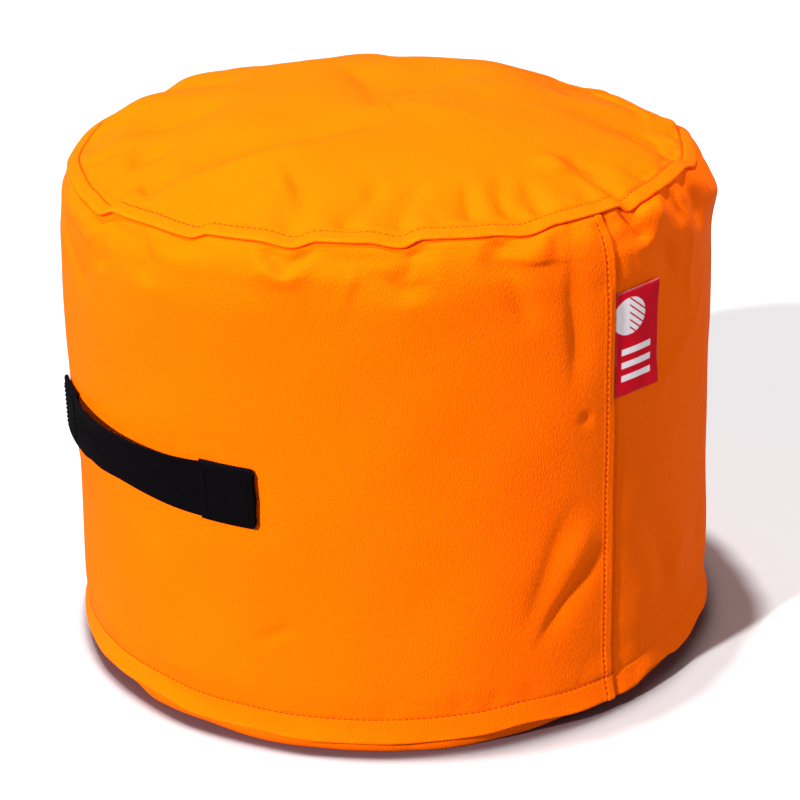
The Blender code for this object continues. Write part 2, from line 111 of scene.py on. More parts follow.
class Slot(Enum):
    """The record's material slots."""

    LEATHER = "cover_leather"
    COVER_THREAD = "cover_thread"
    WEBBING = "handle_webbing"
    HANDLE_THREAD = "handle_thread"
    BACKING = "backing_cloth"
    LABEL = "label_cloth"
    ZIP_TAPE = "zip_tape"
    ZIP_NYLON = "zip_nylon"
    ZIP_METAL = "zip_metal"
    LINER = "liner_cloth"
    BEADS = "filling_beads"


# ---------------------------------------------------------------- shapes


def smooth_step(x: Array, low: float, high: float) -> Array:
    """0 below low, 1 above high, and a smooth rise between.

    Args:
        x: Values to map.
        low: Where the rise begins.
        high: Where it ends.

    Returns:
        The mapped values.
    """
    share = np.clip((x - low) / (high - low), 0.0, 1.0)
    return share * share * (3.0 - 2.0 * share)


def hump(x: Array) -> Array:
    """A rounded hump of height 1 at 0, with long soft sides."""
    return 1.0 / np.cosh(np.clip(x, -30.0, 30.0))


def bell(x: Array, width: float) -> Array:
    """A bell of height 1 at 0."""
    return np.exp(-((x / width) ** 2))


def from_edge(run: Array, width: float) -> Array:
    """1 at a run of 0 and before it, fading out over a width beyond it."""
    return bell(np.clip(run, 0, None), width)


def turn_gap(azimuth: Array, centre: float) -> Array:
    """The signed angle from centre to azimuth, in degrees, the short way round."""
    return (np.asarray(azimuth) - centre + 180.0) % 360.0 - 180.0


def on_wall(radius: Array, azimuth: Array, height: Array) -> Array:
    """Points from radius, azimuth in degrees and height."""
    angle = np.radians(azimuth)
    return np.stack(np.broadcast_arrays(radius * np.sin(angle), -radius * np.cos(angle), height), -1)


def spline(points: Array, count: int) -> Array:
    """A smooth line through points.

    Args:
        points: The points, one per row.
        count: How many points to return.

    Returns:
        The line's points.
    """
    ends = np.vstack([2 * points[0] - points[1], points, 2 * points[-1] - points[-2]])
    place = np.linspace(0, len(points) - 1, count)
    first = np.minimum(place.astype(int), len(points) - 2)
    f = (place - first)[:, None]
    a, b, c, d = (ends[first + i] for i in range(4))
    return 0.5 * (2 * b + (c - a) * f + (2 * a - 5 * b + 4 * c - d) * f**2 + (3 * b - a - 3 * c + d) * f**3)


@dataclass(frozen=True)
class Wave:
    """A value that changes smoothly round the pouf.

    Attributes:
        knots: (azimuth, value) pairs in order of azimuth, within one turn.
    """

    knots: tuple[tuple[float, float], ...]

    def at(self, azimuth: Array) -> Array:
        """The value at each azimuth."""
        places = np.array([k[0] for k in self.knots])
        values = np.array([k[1] for k in self.knots])
        places = np.concatenate([[places[-1] - 360.0], places, [places[0] + 360.0]])
        values = np.concatenate([[values[-1]], values, [values[0]]])
        around = (np.asarray(azimuth) - places[1]) % 360.0 + places[1]
        index = np.clip(np.searchsorted(places, around, side="right") - 1, 0, len(places) - 2)
        share = (around - places[index]) / (places[index + 1] - places[index])
        share = share * share * (3.0 - 2.0 * share)
        return values[index] + (values[index + 1] - values[index]) * share


@dataclass(frozen=True)
class Drift:
    """Soft unevenness of a stuffed surface: a seeded sum of slow waves.

    Attributes:
        seed: Seed of its random draws.
        height: Typical height, in metres.
        longest: Longest wave, in metres.
        shortest: Shortest wave, in metres.
        count: How many waves it adds.
    """

    seed: int
    height: float
    longest: float
    shortest: float
    count: int = 26

    def at(self, places: Array) -> Array:
        """The height at each 3-D place."""
        draw = np.random.default_rng(self.seed)
        total = np.zeros(places.shape[:-1])
        for _ in range(self.count):
            length = self.shortest * (self.longest / self.shortest) ** draw.random()
            way = draw.normal(size=3)
            way *= 2 * math.pi / (length * np.linalg.norm(way))
            total += math.sqrt(length / self.longest) * np.cos(places @ way + draw.random() * 2 * math.pi)
        return self.height * total / math.sqrt(self.count / 2)


@dataclass(frozen=True)
class Fold:
    """A ridge or valley along a line on the cloth.

    Attributes:
        line: Points of its line, in metres on the flat cloth.
        height: Height of a ridge, or minus the depth of a valley.
        width: How far its sides reach.
        lean: From -1 to 1; the sides of a leaning fold differ in steepness.
        start: Share of the height at the line's first point.
        end: Share of the height at its last point.
    """

    line: tuple[tuple[float, float], ...]
    height: float
    width: float
    lean: float = 0.0
    start: float = 0.0
    end: float = 0.0

    def at(self, across: Array, along: Array) -> Array:
        """The fold's height at places on the flat cloth.

        Args:
            across: First coordinate of each place.
            along: Second coordinate of each place.

        Returns:
            The height at each place.
        """
        nearest = np.full(across.shape, np.inf)
        progress = np.zeros(across.shape)
        side = np.zeros(across.shape)
        for i, (first, last) in enumerate(zip(self.line, self.line[1:])):
            dx, dy = last[0] - first[0], last[1] - first[1]
            square = dx * dx + dy * dy
            share = np.clip(((across - first[0]) * dx + (along - first[1]) * dy) / square, 0, 1)
            gap_x, gap_y = across - first[0] - share * dx, along - first[1] - share * dy
            gap = np.hypot(gap_x, gap_y)
            closer = gap < nearest
            nearest = np.where(closer, gap, nearest)
            progress = np.where(closer, (i + share) / (len(self.line) - 1), progress)
            side = np.where(closer, np.sign(dx * gap_y - dy * gap_x), side)
        rise = self.start + (1 - self.start) * smooth_step(progress, 0.0, 0.4)
        fall = self.end + (1 - self.end) * (1 - smooth_step(progress, 0.6, 1.0))
        width = self.width * (1 + self.lean * side * np.tanh(nearest / (0.4 * self.width)))
        return self.height * hump(nearest / width) * rise * fall


@dataclass(frozen=True)
class Puckers:
    """Short valleys that run away from a seam, where its stitches gather the cloth.

    Attributes:
        seed: Seed of their places.
        count: How many there are round the pouf.
        depth: Deepest valley.
        width: Half-width at the seam.
        reach: How far the longest run.
        slant: Largest slant, in degrees of azimuth per metre.
    """

    seed: int
    count: int
    depth: float
    width: float
    reach: float
    slant: float = 60.0

    def at(self, azimuth: Array, run: Array, radius: float) -> Array:
        """The height, zero or less, at places beside the seam.

        Args:
            azimuth: Azimuth of each place, in degrees.
            run: Distance of each place from the seam.
            radius: Radius that turns azimuth into length.

        Returns:
            The height at each place.
        """
        draw = np.random.default_rng(self.seed)
        step = 360.0 / self.count
        total = np.zeros(np.broadcast(azimuth, run).shape)
        for i in range(self.count):
            centre = (i + draw.uniform(-0.38, 0.38)) * step
            strength = draw.random() ** 1.6
            depth = self.depth * (0.18 + 0.82 * strength)
            width = self.width * draw.uniform(0.7, 1.5)
            reach = self.reach * (0.25 + 0.75 * strength) * draw.uniform(0.7, 1.0)
            slant = draw.uniform(-self.slant, self.slant)
            away = np.clip(run, 0.0, None)
            across = np.radians(turn_gap(azimuth, centre) - slant * away) * radius
            spread = width * (1 + away / 0.045)
            total -= depth * hump(across / spread) * np.exp(-((away / reach) ** 1.25))
        return total


@dataclass(frozen=True)
class Outline:
    """A line in (radius, height) that is read by its length.

    Attributes:
        points: Points of the line.
        zero: Which point the length is counted from.
    """

    points: tuple[tuple[float, float], ...]
    zero: int

    def table(self) -> tuple[Array, Array]:
        """The lengths of a dense line and its points."""
        fine = spline(np.array(self.points), 60 * (len(self.points) - 1) + 1)
        run = np.concatenate([[0.0], np.cumsum(np.linalg.norm(np.diff(fine, axis=0), axis=1))])
        return run - run[60 * self.zero], fine

    def ends(self) -> tuple[float, float]:
        """The lengths at the line's two ends."""
        run, _ = self.table()
        return float(run[0]), float(run[-1])

    def run_at(self, index: int) -> float:
        """The length at one of the points."""
        run, _ = self.table()
        return float(run[60 * index])

    def at(self, run: Array) -> tuple[Array, Array, Array, Array]:
        """Radius, height and the outward normal's two parts at each length."""
        table, fine = self.table()
        slope = np.gradient(fine, table, axis=0)
        slope /= np.linalg.norm(slope, axis=1)[:, None]
        read = [np.interp(run, table, column) for column in (*fine.T, -slope[:, 1], slope[:, 0])]
        return read[0], read[1], read[2], read[3]


# ---------------------------------------------------------------- meshes


def fill_mesh(name: str, points: Array, faces: Array, smooth: bool = True) -> bpy.types.Object:
    """An object from points and faces of one size.

    Args:
        name: The object's name.
        points: Points, one per row.
        faces: Corner numbers, one face per row.
        smooth: Whether the faces are shaded smooth.

    Returns:
        The new object, linked to the scene.
    """
    mesh = bpy.data.meshes.new(name)
    size = faces.shape[1]
    mesh.vertices.add(len(points))
    mesh.vertices.foreach_set("co", np.asarray(points, np.float32).ravel())
    mesh.loops.add(faces.size)
    mesh.loops.foreach_set("vertex_index", np.asarray(faces, np.int32).ravel())
    mesh.polygons.add(len(faces))
    mesh.polygons.foreach_set("loop_start", np.arange(0, faces.size, size, dtype=np.int32))
    mesh.update(calc_edges=True)
    mesh.validate()
    mesh.polygons.foreach_set("use_smooth", np.full(len(mesh.polygons), smooth))
    made = bpy.data.objects.new(name, mesh)
    bpy.context.scene.collection.objects.link(made)
    return made


def face_outward(piece: bpy.types.Object) -> None:
    """Turns the faces of a closed piece outwards."""
    shape = bmesh.new()
    shape.from_mesh(piece.data)
    bmesh.ops.recalc_face_normals(shape, faces=shape.faces)
    shape.to_mesh(piece.data)
    shape.free()


def write_attribute(piece: bpy.types.Object, name: str, values: Array) -> None:
    """Stores a number or vector at each point of a piece's mesh."""
    kind, key = ("FLOAT_VECTOR", "vector") if values.ndim == 2 else ("FLOAT", "value")
    made = piece.data.attributes.new(name, kind, "POINT")
    made.data.foreach_set(key, np.asarray(values, np.float32).ravel())


def grid_faces(rows: int, columns: int, closed: bool = False, first: int = 0) -> Array:
    """Corner numbers of a grid's faces.

    Args:
        rows: Rows of points.
        columns: Points in a row.
        closed: Whether the last column joins the first.
        first: Number of the grid's first point.

    Returns:
        One face per row.
    """
    number = np.arange(rows * columns).reshape(rows, columns) + first
    if closed:
        number = np.concatenate([number, number[:, :1]], axis=1)
    corners = [number[:-1, :-1], number[1:, :-1], number[1:, 1:], number[:-1, 1:]]
    return np.stack([c.ravel() for c in corners], -1)


def grid_normals(points: Array) -> Array:
    """Unit normals of a grid of points, rows by columns."""
    down = np.gradient(points, axis=0)
    across = np.gradient(points, axis=1)
    normal = np.cross(down, across)
    return normal / np.maximum(np.linalg.norm(normal, axis=-1, keepdims=True), 1e-12)


def solid_sheet(name: str, middle: Array, thickness: float, cloth: Array) -> bpy.types.Object:
    """A closed sheet of even thickness with rounded edges, round a grid of points.

    Args:
        name: The object's name.
        middle: The sheet's middle surface, rows by columns.
        thickness: Its thickness.
        cloth: Place of each grid point on the flat cloth.

    Returns:
        The new object.
    """
    rows, columns = middle.shape[:2]
    normal = grid_normals(middle)
    half = thickness / 2
    edge = [(0, c) for c in range(columns)] + [(r, columns - 1) for r in range(1, rows)]
    edge += [(rows - 1, c) for c in range(columns - 2, -1, -1)]
    edge += [(r, 0) for r in range(rows - 2, 0, -1)]
    place = np.array(edge)
    inner = np.clip(place, 1, [rows - 2, columns - 2])
    rim = middle[place[:, 0], place[:, 1]]
    out = rim - middle[inner[:, 0], inner[:, 1]]
    out /= np.linalg.norm(out, axis=1)[:, None]
    up = normal[place[:, 0], place[:, 1]]
    rings = [rim + 0.7 * half * out + 0.7 * half * side * up for side in (1, -1)]
    rings.insert(1, rim + half * out)
    points = [(middle + half * normal).reshape(-1, 3), *rings, (middle - half * normal).reshape(-1, 3)]
    count = rows * columns
    front = grid_faces(rows, columns)
    back = grid_faces(rows, columns, first=count + 3 * len(edge))[:, ::-1]
    number = place[:, 0] * columns + place[:, 1]
    loops = [number, *[count + i * len(edge) + np.arange(len(edge)) for i in range(3)]]
    loops.append(number + count + 3 * len(edge))
    sides = []
    for upper, lower in zip(loops, loops[1:]):
        sides.append(np.stack([upper, np.roll(upper, -1), np.roll(lower, -1), lower], -1))
    faces = np.concatenate([front, back, *sides])
    piece = fill_mesh(name, np.concatenate(points), faces)
    flat = cloth.reshape(-1, 3)
    around = flat[number]
    write_attribute(piece, CLOTH, np.concatenate([flat, around, around, around, flat]))
    worn = np.zeros(count)
    worn[number] = 0.5
    bare = np.ones(3 * len(edge))
    write_attribute(piece, WEAR, np.concatenate([worn, bare, worn]))
    face_outward(piece)
    return piece


def dress(piece: bpy.types.Object, material: bpy.types.Material, body: Body, slot: Slot, *nodes: str) -> None:
    """Gives a piece its material and body, and lets it stand for CAD nodes.

    Args:
        piece: The piece.
        material: Its finish.
        body: The body that it rides on.
        slot: The record's material slot; not used.
        *nodes: CAD nodes that it replaces.
    """
    piece.data.materials.clear()
    piece.data.materials.append(material)
    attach(piece, body.value)
    if nodes:
        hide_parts(*nodes)


def repaint(node: str, material: bpy.types.Material) -> None:
    """Gives a kept CAD node a finish, without touching its mesh."""
    kept = frame["nodes"][node]
    for place in kept.material_slots:
        place.material = material


# ---------------------------------------------------------------- finishes


class Graph:
    """Makes and joins the nodes of one node tree."""

    def __init__(self, tree: bpy.types.NodeTree) -> None:
        """Keeps the tree that the nodes go in."""
        self.tree = tree

    def put(self, socket: bpy.types.NodeSocket, value: object) -> None:
        """Joins a socket to another, or sets its value."""
        if isinstance(value, bpy.types.NodeSocket):
            self.tree.links.new(value, socket)
        elif isinstance(value, tuple) and socket.type == "RGBA" and len(value) == 3:
            socket.default_value = (*value, 1.0)
        else:
            socket.default_value = value

    def node(self, kind: str, inputs: dict[str, object] | None = None, **settings: object) -> bpy.types.Node:
        """Adds a node.

        Args:
            kind: Its type, without the leading "ShaderNode".
            inputs: Values or sockets for its inputs, by name or number.
            **settings: Values for its own properties.

        Returns:
            The node.
        """
        made = self.tree.nodes.new(f"ShaderNode{kind}")
        for name, value in settings.items():
            setattr(made, name, value)
        for name, value in (inputs or {}).items():
            self.put(made.inputs[name], value)
        return made

    def maths(self, operation: str, *values: object, clamp: bool = False) -> bpy.types.NodeSocket:
        """The result of a Math node."""
        made = self.node("Math", dict(enumerate(values)), operation=operation, use_clamp=clamp)
        return made.outputs[0]

    def times(self, first: object, second: object) -> bpy.types.NodeSocket:
        """The product of two values."""
        return self.maths("MULTIPLY", first, second)

    def times_plus(self, first: object, second: object, extra: object) -> bpy.types.NodeSocket:
        """The product of two values, plus a third."""
        return self.maths("MULTIPLY_ADD", first, second, extra)

    def blend(self, share: object, first: object, second: object) -> bpy.types.NodeSocket:
        """A colour between two others."""
        made = self.node("Mix", data_type="RGBA")
        for index, value in ((0, share), (6, first), (7, second)):
            self.put(made.inputs[index], value)
        return made.outputs[2]

    def ramp(
        self, value: object, low: float, high: float, first: float = 0.0, last: float = 1.0
    ) -> bpy.types.NodeSocket:
        """A value mapped smoothly from one range to another."""
        inputs = {"Value": value, "From Min": low, "From Max": high, "To Min": first, "To Max": last}
        return self.node("MapRange", inputs, interpolation_type="SMOOTHSTEP").outputs["Result"]

    def noise(
        self, vector: object, scale: float, detail: float = 2.0, roughness: float = 0.5
    ) -> bpy.types.NodeSocket:
        """A noise value from 0 to 1."""
        inputs = {"Vector": vector, "Scale": scale, "Detail": detail, "Roughness": roughness}
        return self.node("TexNoise", inputs).outputs[0]

    def scaled(self, vector: object, scale: tuple[float, float, float]) -> bpy.types.NodeSocket:
        """A vector with each part multiplied."""
        made = self.node("VectorMath", {0: vector, 1: scale}, operation="MULTIPLY")
        return made.outputs[0]

    def attribute(self, name: str) -> bpy.types.Node:
        """The node that reads a mesh attribute."""
        return self.node("Attribute", attribute_name=name)

    def place(self) -> bpy.types.NodeSocket:
        """The place on the object, in metres."""
        return self.node("TexCoord").outputs["Object"]


def new_group(
    name: str, inputs: dict[str, tuple[str, float]], outputs: dict[str, str]
) -> tuple[bpy.types.NodeTree, Graph, bpy.types.Node, bpy.types.Node]:
    """An empty shader node group.

    Args:
        name: Its name.
        inputs: Socket kind and default value of each input.
        outputs: Socket kind of each output.

    Returns:
        The group, its graph, its input node and its output node.
    """
    group = bpy.data.node_groups.new(name, "ShaderNodeTree")
    for label, (kind, default) in inputs.items():
        socket = group.interface.new_socket(label, in_out="INPUT", socket_type=f"NodeSocket{kind}")
        if kind == "Float":
            socket.default_value = default
    for label, kind in outputs.items():
        group.interface.new_socket(label, in_out="OUTPUT", socket_type=f"NodeSocket{kind}")
    entry = group.nodes.new("NodeGroupInput")
    leave = group.nodes.new("NodeGroupOutput")
    return group, Graph(group), entry, leave


class Effects:
    """The node groups that several finishes share, each built once."""

    def __init__(self) -> None:
        """Builds the groups."""
        self.grain = self.build_grain()
        self.drift = self.build_drift()
        self.wear = self.build_wear()
        self.weave = self.build_weave()

    @staticmethod
    def use(graph: Graph, group: bpy.types.NodeTree, inputs: dict[str, object]) -> bpy.types.Node:
        """Places a group in a material with its own values."""
        made = graph.tree.nodes.new("ShaderNodeGroup")
        made.node_tree = group
        for name, value in inputs.items():
            graph.put(made.inputs[name], value)
        return made

    @staticmethod
    def build_grain() -> bpy.types.NodeTree:
        """Pebbled grain of coated leather cloth, drawn out one way, with fine pores."""
        sockets = {"Vector": ("Vector", 0.0), "Cells": ("Float", 620.0)}
        group, graph, entry, leave = new_group("leather_grain", sockets, {"Height": "Float", "Pits": "Float"})
        shift = graph.node("TexNoise", {"Vector": entry.outputs["Vector"], "Scale": 240.0, "Detail": 2.0})
        bent = graph.node("VectorMath", {0: shift.outputs["Color"], "Scale": 0.0016}, operation="SCALE")
        vector = graph.node("VectorMath", {0: entry.outputs["Vector"], 1: bent.outputs[0]}, operation="ADD")
        cells = {"Vector": vector.outputs[0], "Scale": entry.outputs["Cells"], "Randomness": 1.0}
        edge = graph.node("TexVoronoi", cells, feature="DISTANCE_TO_EDGE")
        dome = graph.ramp(edge.outputs["Distance"], 0.0, 0.34)
        fine_scale = graph.times(entry.outputs["Cells"], 2.7)
        fine = graph.node("TexNoise", {"Vector": vector.outputs[0], "Scale": fine_scale, "Detail": 3.0})
        height = graph.times_plus(fine.outputs[0], 0.35, graph.times(dome, 0.75))
        graph.put(leave.inputs["Height"], height)
        graph.put(leave.inputs["Pits"], graph.maths("SUBTRACT", 1.0, dome, clamp=True))
        return group

    @staticmethod
    def build_drift() -> bpy.types.NodeTree:
        """Slow and fine unevenness of a colour."""
        sockets = {"Vector": ("Vector", 0.0), "Colour": ("Color", 0.0), "Amount": ("Float", 0.05)}
        group, graph, entry, leave = new_group("colour_drift", sockets, {"Colour": "Color", "Value": "Float"})
        slow = graph.noise(entry.outputs["Vector"], 9.0, 3.0)
        fine = graph.noise(entry.outputs["Vector"], 170.0, 2.0)
        value = graph.times_plus(fine, 0.35, graph.times(slow, 0.65))
        signed = graph.times(graph.maths("SUBTRACT", value, 0.5), entry.outputs["Amount"])
        factor = graph.maths("ADD", 1.0, graph.times(signed, 2.0))
        tinted = graph.node("VectorMath", {0: entry.outputs["Colour"], "Scale": factor}, operation="SCALE")
        graph.put(leave.inputs["Colour"], tinted.outputs[0])
        graph.put(leave.inputs["Value"], value)
        return group

    @staticmethod
    def build_wear() -> bpy.types.NodeTree:
        """Rubbed folds and edges, broken up by noise."""
        sockets = {"Vector": ("Vector", 0.0), "Edge": ("Float", 0.0), "Amount": ("Float", 0.5)}
        group, graph, entry, leave = new_group("edge_wear", sockets, {"Mask": "Float"})
        patchy = graph.ramp(graph.noise(entry.outputs["Vector"], 60.0, 4.0, 0.65), 0.35, 0.7)
        mask = graph.times(graph.times(entry.outputs["Edge"], patchy), entry.outputs["Amount"])
        graph.put(leave.inputs["Mask"], mask)
        return group

    @staticmethod
    def build_weave() -> bpy.types.NodeTree:
        """Woven cloth: ribs across the first way, each crossed by threads of the second way."""
        sizes = {"Rib": ("Float", 0.0013), "Thread": ("Float", 0.0009), "Fuzz": ("Float", 0.3)}
        sockets = {"Vector": ("Vector", 0.0), **sizes}
        group, graph, entry, leave = new_group("weave", sockets, {"Height": "Float", "Gaps": "Float"})
        parts = graph.node("SeparateXYZ", {0: entry.outputs["Vector"]})
        along = graph.maths("DIVIDE", parts.outputs[0], entry.outputs["Rib"])
        row = graph.maths("FLOOR", along)
        rib = graph.maths("ABSOLUTE", graph.maths("SINE", graph.times(along, math.pi)))
        offset = graph.times(graph.maths("MODULO", row, 2.0), 0.5)
        across = graph.maths("ADD", graph.maths("DIVIDE", parts.outputs[1], entry.outputs["Thread"]), offset)
        thread = graph.maths("ABSOLUTE", graph.maths("SINE", graph.times(across, math.pi)))
        fuzz = graph.noise(entry.outputs["Vector"], 2600.0, 2.0)
        woven = graph.times(graph.maths("POWER", rib, 0.7), graph.times_plus(thread, 0.45, 0.55))
        height = graph.times_plus(fuzz, entry.outputs["Fuzz"], woven)
        graph.put(leave.inputs["Height"], height)
        graph.put(leave.inputs["Gaps"], graph.maths("SUBTRACT", 1.0, woven, clamp=True))
        return group


def new_material(name: str) -> tuple[bpy.types.Material, Graph, bpy.types.Node]:
    """A node material with a Principled shader, its graph and that shader."""
    made = bpy.data.materials.new(name)
    made.use_nodes = True
    return made, Graph(made.node_tree), made.node_tree.nodes["Principled BSDF"]


def set_bump(graph: Graph, shader: bpy.types.Node, height: object, distance: float, strength: float) -> None:
    """Feeds a height through a Bump node into the shader's normal."""
    bump = graph.node("Bump", {"Height": height, "Distance": distance, "Strength": strength})
    graph.put(shader.inputs["Normal"], bump.outputs[0])


@dataclass(frozen=True)
class LeatherCloth:
    """Orange coated leather cloth with a satin face."""

    colour: Colour = (0.93, 0.124, 0.0006)
    # Darker, redder colour painted into the grain's pits: painted shade in the hollows.
    pit_shade_colour: Colour = (0.70, 0.060, 0.0003)
    worn_colour: Colour = (1.0, 0.19, 0.004)
    cells: float = 700.0
    drawn_out: tuple[float, float, float] = (1.0, 1.0, 0.32)
    roughness: float = 0.43

    def material(self, effects: Effects, name: str) -> bpy.types.Material:
        """Builds the material."""
        made, graph, shader = new_material(name)
        place = graph.place()
        stretched = graph.scaled(place, self.drawn_out)
        grain = effects.use(graph, effects.grain, {"Vector": stretched, "Cells": self.cells})
        tone = effects.use(graph, effects.drift, {"Vector": place, "Colour": self.colour, "Amount": 0.035})
        edge = graph.attribute(WEAR).outputs["Fac"]
        wear = effects.use(graph, effects.wear, {"Vector": place, "Edge": edge, "Amount": 0.35})
        # The grain's pits are blended toward a darker red: painted shade in the hollows.
        pit_shade = graph.times(grain.outputs["Pits"], 0.14)
        colour = graph.blend(pit_shade, tone.outputs["Colour"], self.pit_shade_colour)
        colour = graph.blend(wear.outputs["Mask"], colour, self.worn_colour)
        graph.put(shader.inputs["Base Color"], colour)
        rough = graph.times_plus(tone.outputs["Value"], 0.14, self.roughness - 0.07)
        rough = graph.times_plus(grain.outputs["Pits"], 0.16, rough)
        graph.put(shader.inputs["Roughness"], rough)
        shader.inputs["Specular IOR Level"].default_value = 0.02
        shader.inputs["Specular Tint"].default_value = (1.0, 0.25, 0.01, 1.0)
        set_bump(graph, shader, grain.outputs["Height"], 0.00032, 0.75)
        return made


@dataclass(frozen=True)
class SewingThread:
    """Twisted sewing thread."""

    colour: Colour
    roughness: float = 0.55
    specular: float = 0.15

    def material(self, effects: Effects, name: str) -> bpy.types.Material:
        """Builds the material."""
        made, graph, shader = new_material(name)
        shader.inputs["Specular IOR Level"].default_value = self.specular
        place = graph.place()
        tone = effects.use(graph, effects.drift, {"Vector": place, "Colour": self.colour, "Amount": 0.16})
        twist = effects.use(graph, effects.weave, {"Vector": graph.attribute(CLOTH).outputs["Vector"]})
        twist.inputs["Rib"].default_value = 0.0005
        twist.inputs["Thread"].default_value = 0.0008
        graph.put(shader.inputs["Base Color"], tone.outputs["Colour"])
        graph.put(shader.inputs["Roughness"], graph.times_plus(tone.outputs["Value"], 0.2, self.roughness))
        set_bump(graph, shader, twist.outputs["Height"], 0.00012, 0.6)
        return made


@dataclass(frozen=True)
class WovenCloth:
    """Any plain woven or ribbed cloth: webbing, tape, lining and backing."""

    # colour is painted into the weave's gaps as shade; crest_colour is the cloth's own tone on the threads,
    # made lighter so that it also stands in for their highlights.
    colour: Colour
    crest_colour: Colour
    rib: float
    thread: float
    depth: float
    roughness: float = 0.7
    sheen: float = 0.1
    from_cloth: bool = True
    specular: float = 0.28

    def material(self, effects: Effects, name: str) -> bpy.types.Material:
        """Builds the material."""
        made, graph, shader = new_material(name)
        place = graph.place()
        cloth = graph.attribute(CLOTH).outputs["Vector"] if self.from_cloth else place
        sizes = {"Vector": cloth, "Rib": self.rib, "Thread": self.thread, "Fuzz": 0.35}
        weave = effects.use(graph, effects.weave, sizes)
        colours = {"Vector": place, "Colour": self.crest_colour, "Amount": 0.2}
        tone = effects.use(graph, effects.drift, colours)
        edge = graph.attribute(WEAR).outputs["Fac"]
        wear = effects.use(graph, effects.wear, {"Vector": place, "Edge": edge, "Amount": 0.25})
        # Darker in the weave's gaps and lighter on the crests: painted shade between the threads and painted
        # highlights on them.
        colour = graph.blend(weave.outputs["Gaps"], tone.outputs["Colour"], self.colour)
        worn = tuple(min(1.0, 1.6 * part + 0.001) for part in self.crest_colour)
        graph.put(shader.inputs["Base Color"], graph.blend(wear.outputs["Mask"], colour, worn))
        rough = graph.times_plus(weave.outputs["Gaps"], 0.2, self.roughness - 0.08)
        graph.put(shader.inputs["Roughness"], rough)
        shader.inputs["Specular IOR Level"].default_value = self.specular
        shader.inputs["Sheen Weight"].default_value = self.sheen
        shader.inputs["Sheen Roughness"].default_value = 0.5
        set_bump(graph, shader, weave.outputs["Height"], self.depth, 0.8)
        return made


@dataclass(frozen=True)
class LabelCloth:
    """Crimson damask label with a plain striped spot over three plain woven bars."""

    colour: Colour = (0.66, 0.0012, 0.015)
    mark_colour: Colour = (0.93, 0.88, 0.93)
    edge_colour: Colour = (0.3, 0.2, 0.24)
    spot: tuple[float, float, float, float] = (0.0120, 0.0560, 0.0150, 0.0130)
    stripe_pitch: float = 0.0052
    soft_edge: float = 0.0003
    bars: tuple[tuple[float, float, float, float], ...] = (
        (0.0050, 0.0330, 0.0290, 0.0335),
        (0.0050, 0.0330, 0.0195, 0.0240),
        (0.0050, 0.0330, 0.0100, 0.0145),
    )

    def bar(
        self, graph: Graph, u: object, v: object, limits: tuple[float, float, float, float]
    ) -> bpy.types.NodeSocket:
        """1 inside a rectangle of the label, 0 outside it."""
        left, right, low, high = limits
        soft = self.soft_edge
        inside = [graph.ramp(u, left - soft, left + soft), graph.ramp(u, right + soft, right - soft)]
        inside += [graph.ramp(v, low - soft, low + soft), graph.ramp(v, high + soft, high - soft)]
        first = graph.times(inside[0], inside[1])
        return graph.times(first, graph.times(inside[2], inside[3]))

    def material(self, effects: Effects, name: str) -> bpy.types.Material:
        """Builds the material."""
        made, graph, shader = new_material(name)
        place = graph.place()
        cloth = graph.attribute(CLOTH).outputs["Vector"]
        parts = graph.node("SeparateXYZ", {0: cloth})
        u, v = parts.outputs[0], parts.outputs[1]
        sizes = {"Vector": cloth, "Rib": 0.0004, "Thread": 0.0005, "Fuzz": 0.4}
        weave = effects.use(graph, effects.weave, sizes)
        tone = effects.use(graph, effects.drift, {"Vector": place, "Colour": self.colour, "Amount": 0.08})
        marks = [self.bar(graph, u, v, limits) for limits in self.bars]
        centre_u, centre_v, half_u, half_v = self.spot
        rounds = []
        for place_on, centre, half in ((u, centre_u, half_u), (v, centre_v, half_v)):
            share = graph.maths("DIVIDE", graph.maths("SUBTRACT", place_on, centre), half)
            rounds.append(graph.maths("POWER", share, 2.0))
        spot = graph.ramp(graph.maths("ADD", *rounds), 1.05, 0.95)
        slanted = graph.maths("DIVIDE", graph.times_plus(u, 0.8, v), self.stripe_pitch)
        lines = graph.ramp(graph.maths("FRACT", slanted), 0.22, 0.30)
        upper = graph.ramp(u, self.spot[0] - 0.001, self.spot[0] + 0.001)
        striped = graph.maths("MAXIMUM", lines, graph.maths("SUBTRACT", 1.0, upper))
        marks.append(graph.times(spot, striped))
        mark = marks[0]
        for other in marks[1:]:
            mark = graph.maths("MAXIMUM", mark, other)
        colour = graph.blend(mark, tone.outputs["Colour"], self.mark_colour)
        # Darker in the weave's gaps: painted shade between the threads.
        colour = graph.blend(graph.times(weave.outputs["Gaps"], 0.22), colour, (0.12, 0.0, 0.01))
        edge = graph.attribute(WEAR).outputs["Fac"]
        wear = effects.use(graph, effects.wear, {"Vector": place, "Edge": edge, "Amount": 0.8})
        graph.put(shader.inputs["Base Color"], graph.blend(wear.outputs["Mask"], colour, self.edge_colour))
        graph.put(shader.inputs["Roughness"], graph.times_plus(weave.outputs["Gaps"], 0.25, 0.5))
        shader.inputs["Specular IOR Level"].default_value = 0.06
        set_bump(graph, shader, graph.times_plus(mark, 0.5, weave.outputs["Height"]), 0.00012, 0.7)
        return made


@dataclass(frozen=True)
class CastMetal:
    """Plated or moulded hard parts: the slider, the pull tab, the stops and the nylon teeth."""

    colour: Colour
    metallic: float
    roughness: float

    def material(self, effects: Effects, name: str) -> bpy.types.Material:
        """Builds the material."""
        made, graph, shader = new_material(name)
        place = graph.place()
        tone = effects.use(graph, effects.drift, {"Vector": place, "Colour": self.colour, "Amount": 0.1})
        scratches = graph.noise(graph.scaled(place, (1.0, 7.0, 2.0)), 900.0, 4.0, 0.7)
        graph.put(shader.inputs["Base Color"], tone.outputs["Colour"])
        graph.put(shader.inputs["Roughness"], graph.times_plus(scratches, 0.25, self.roughness - 0.1))
        shader.inputs["Metallic"].default_value = self.metallic
        set_bump(graph, shader, scratches, 0.00004, 0.4)
        return made


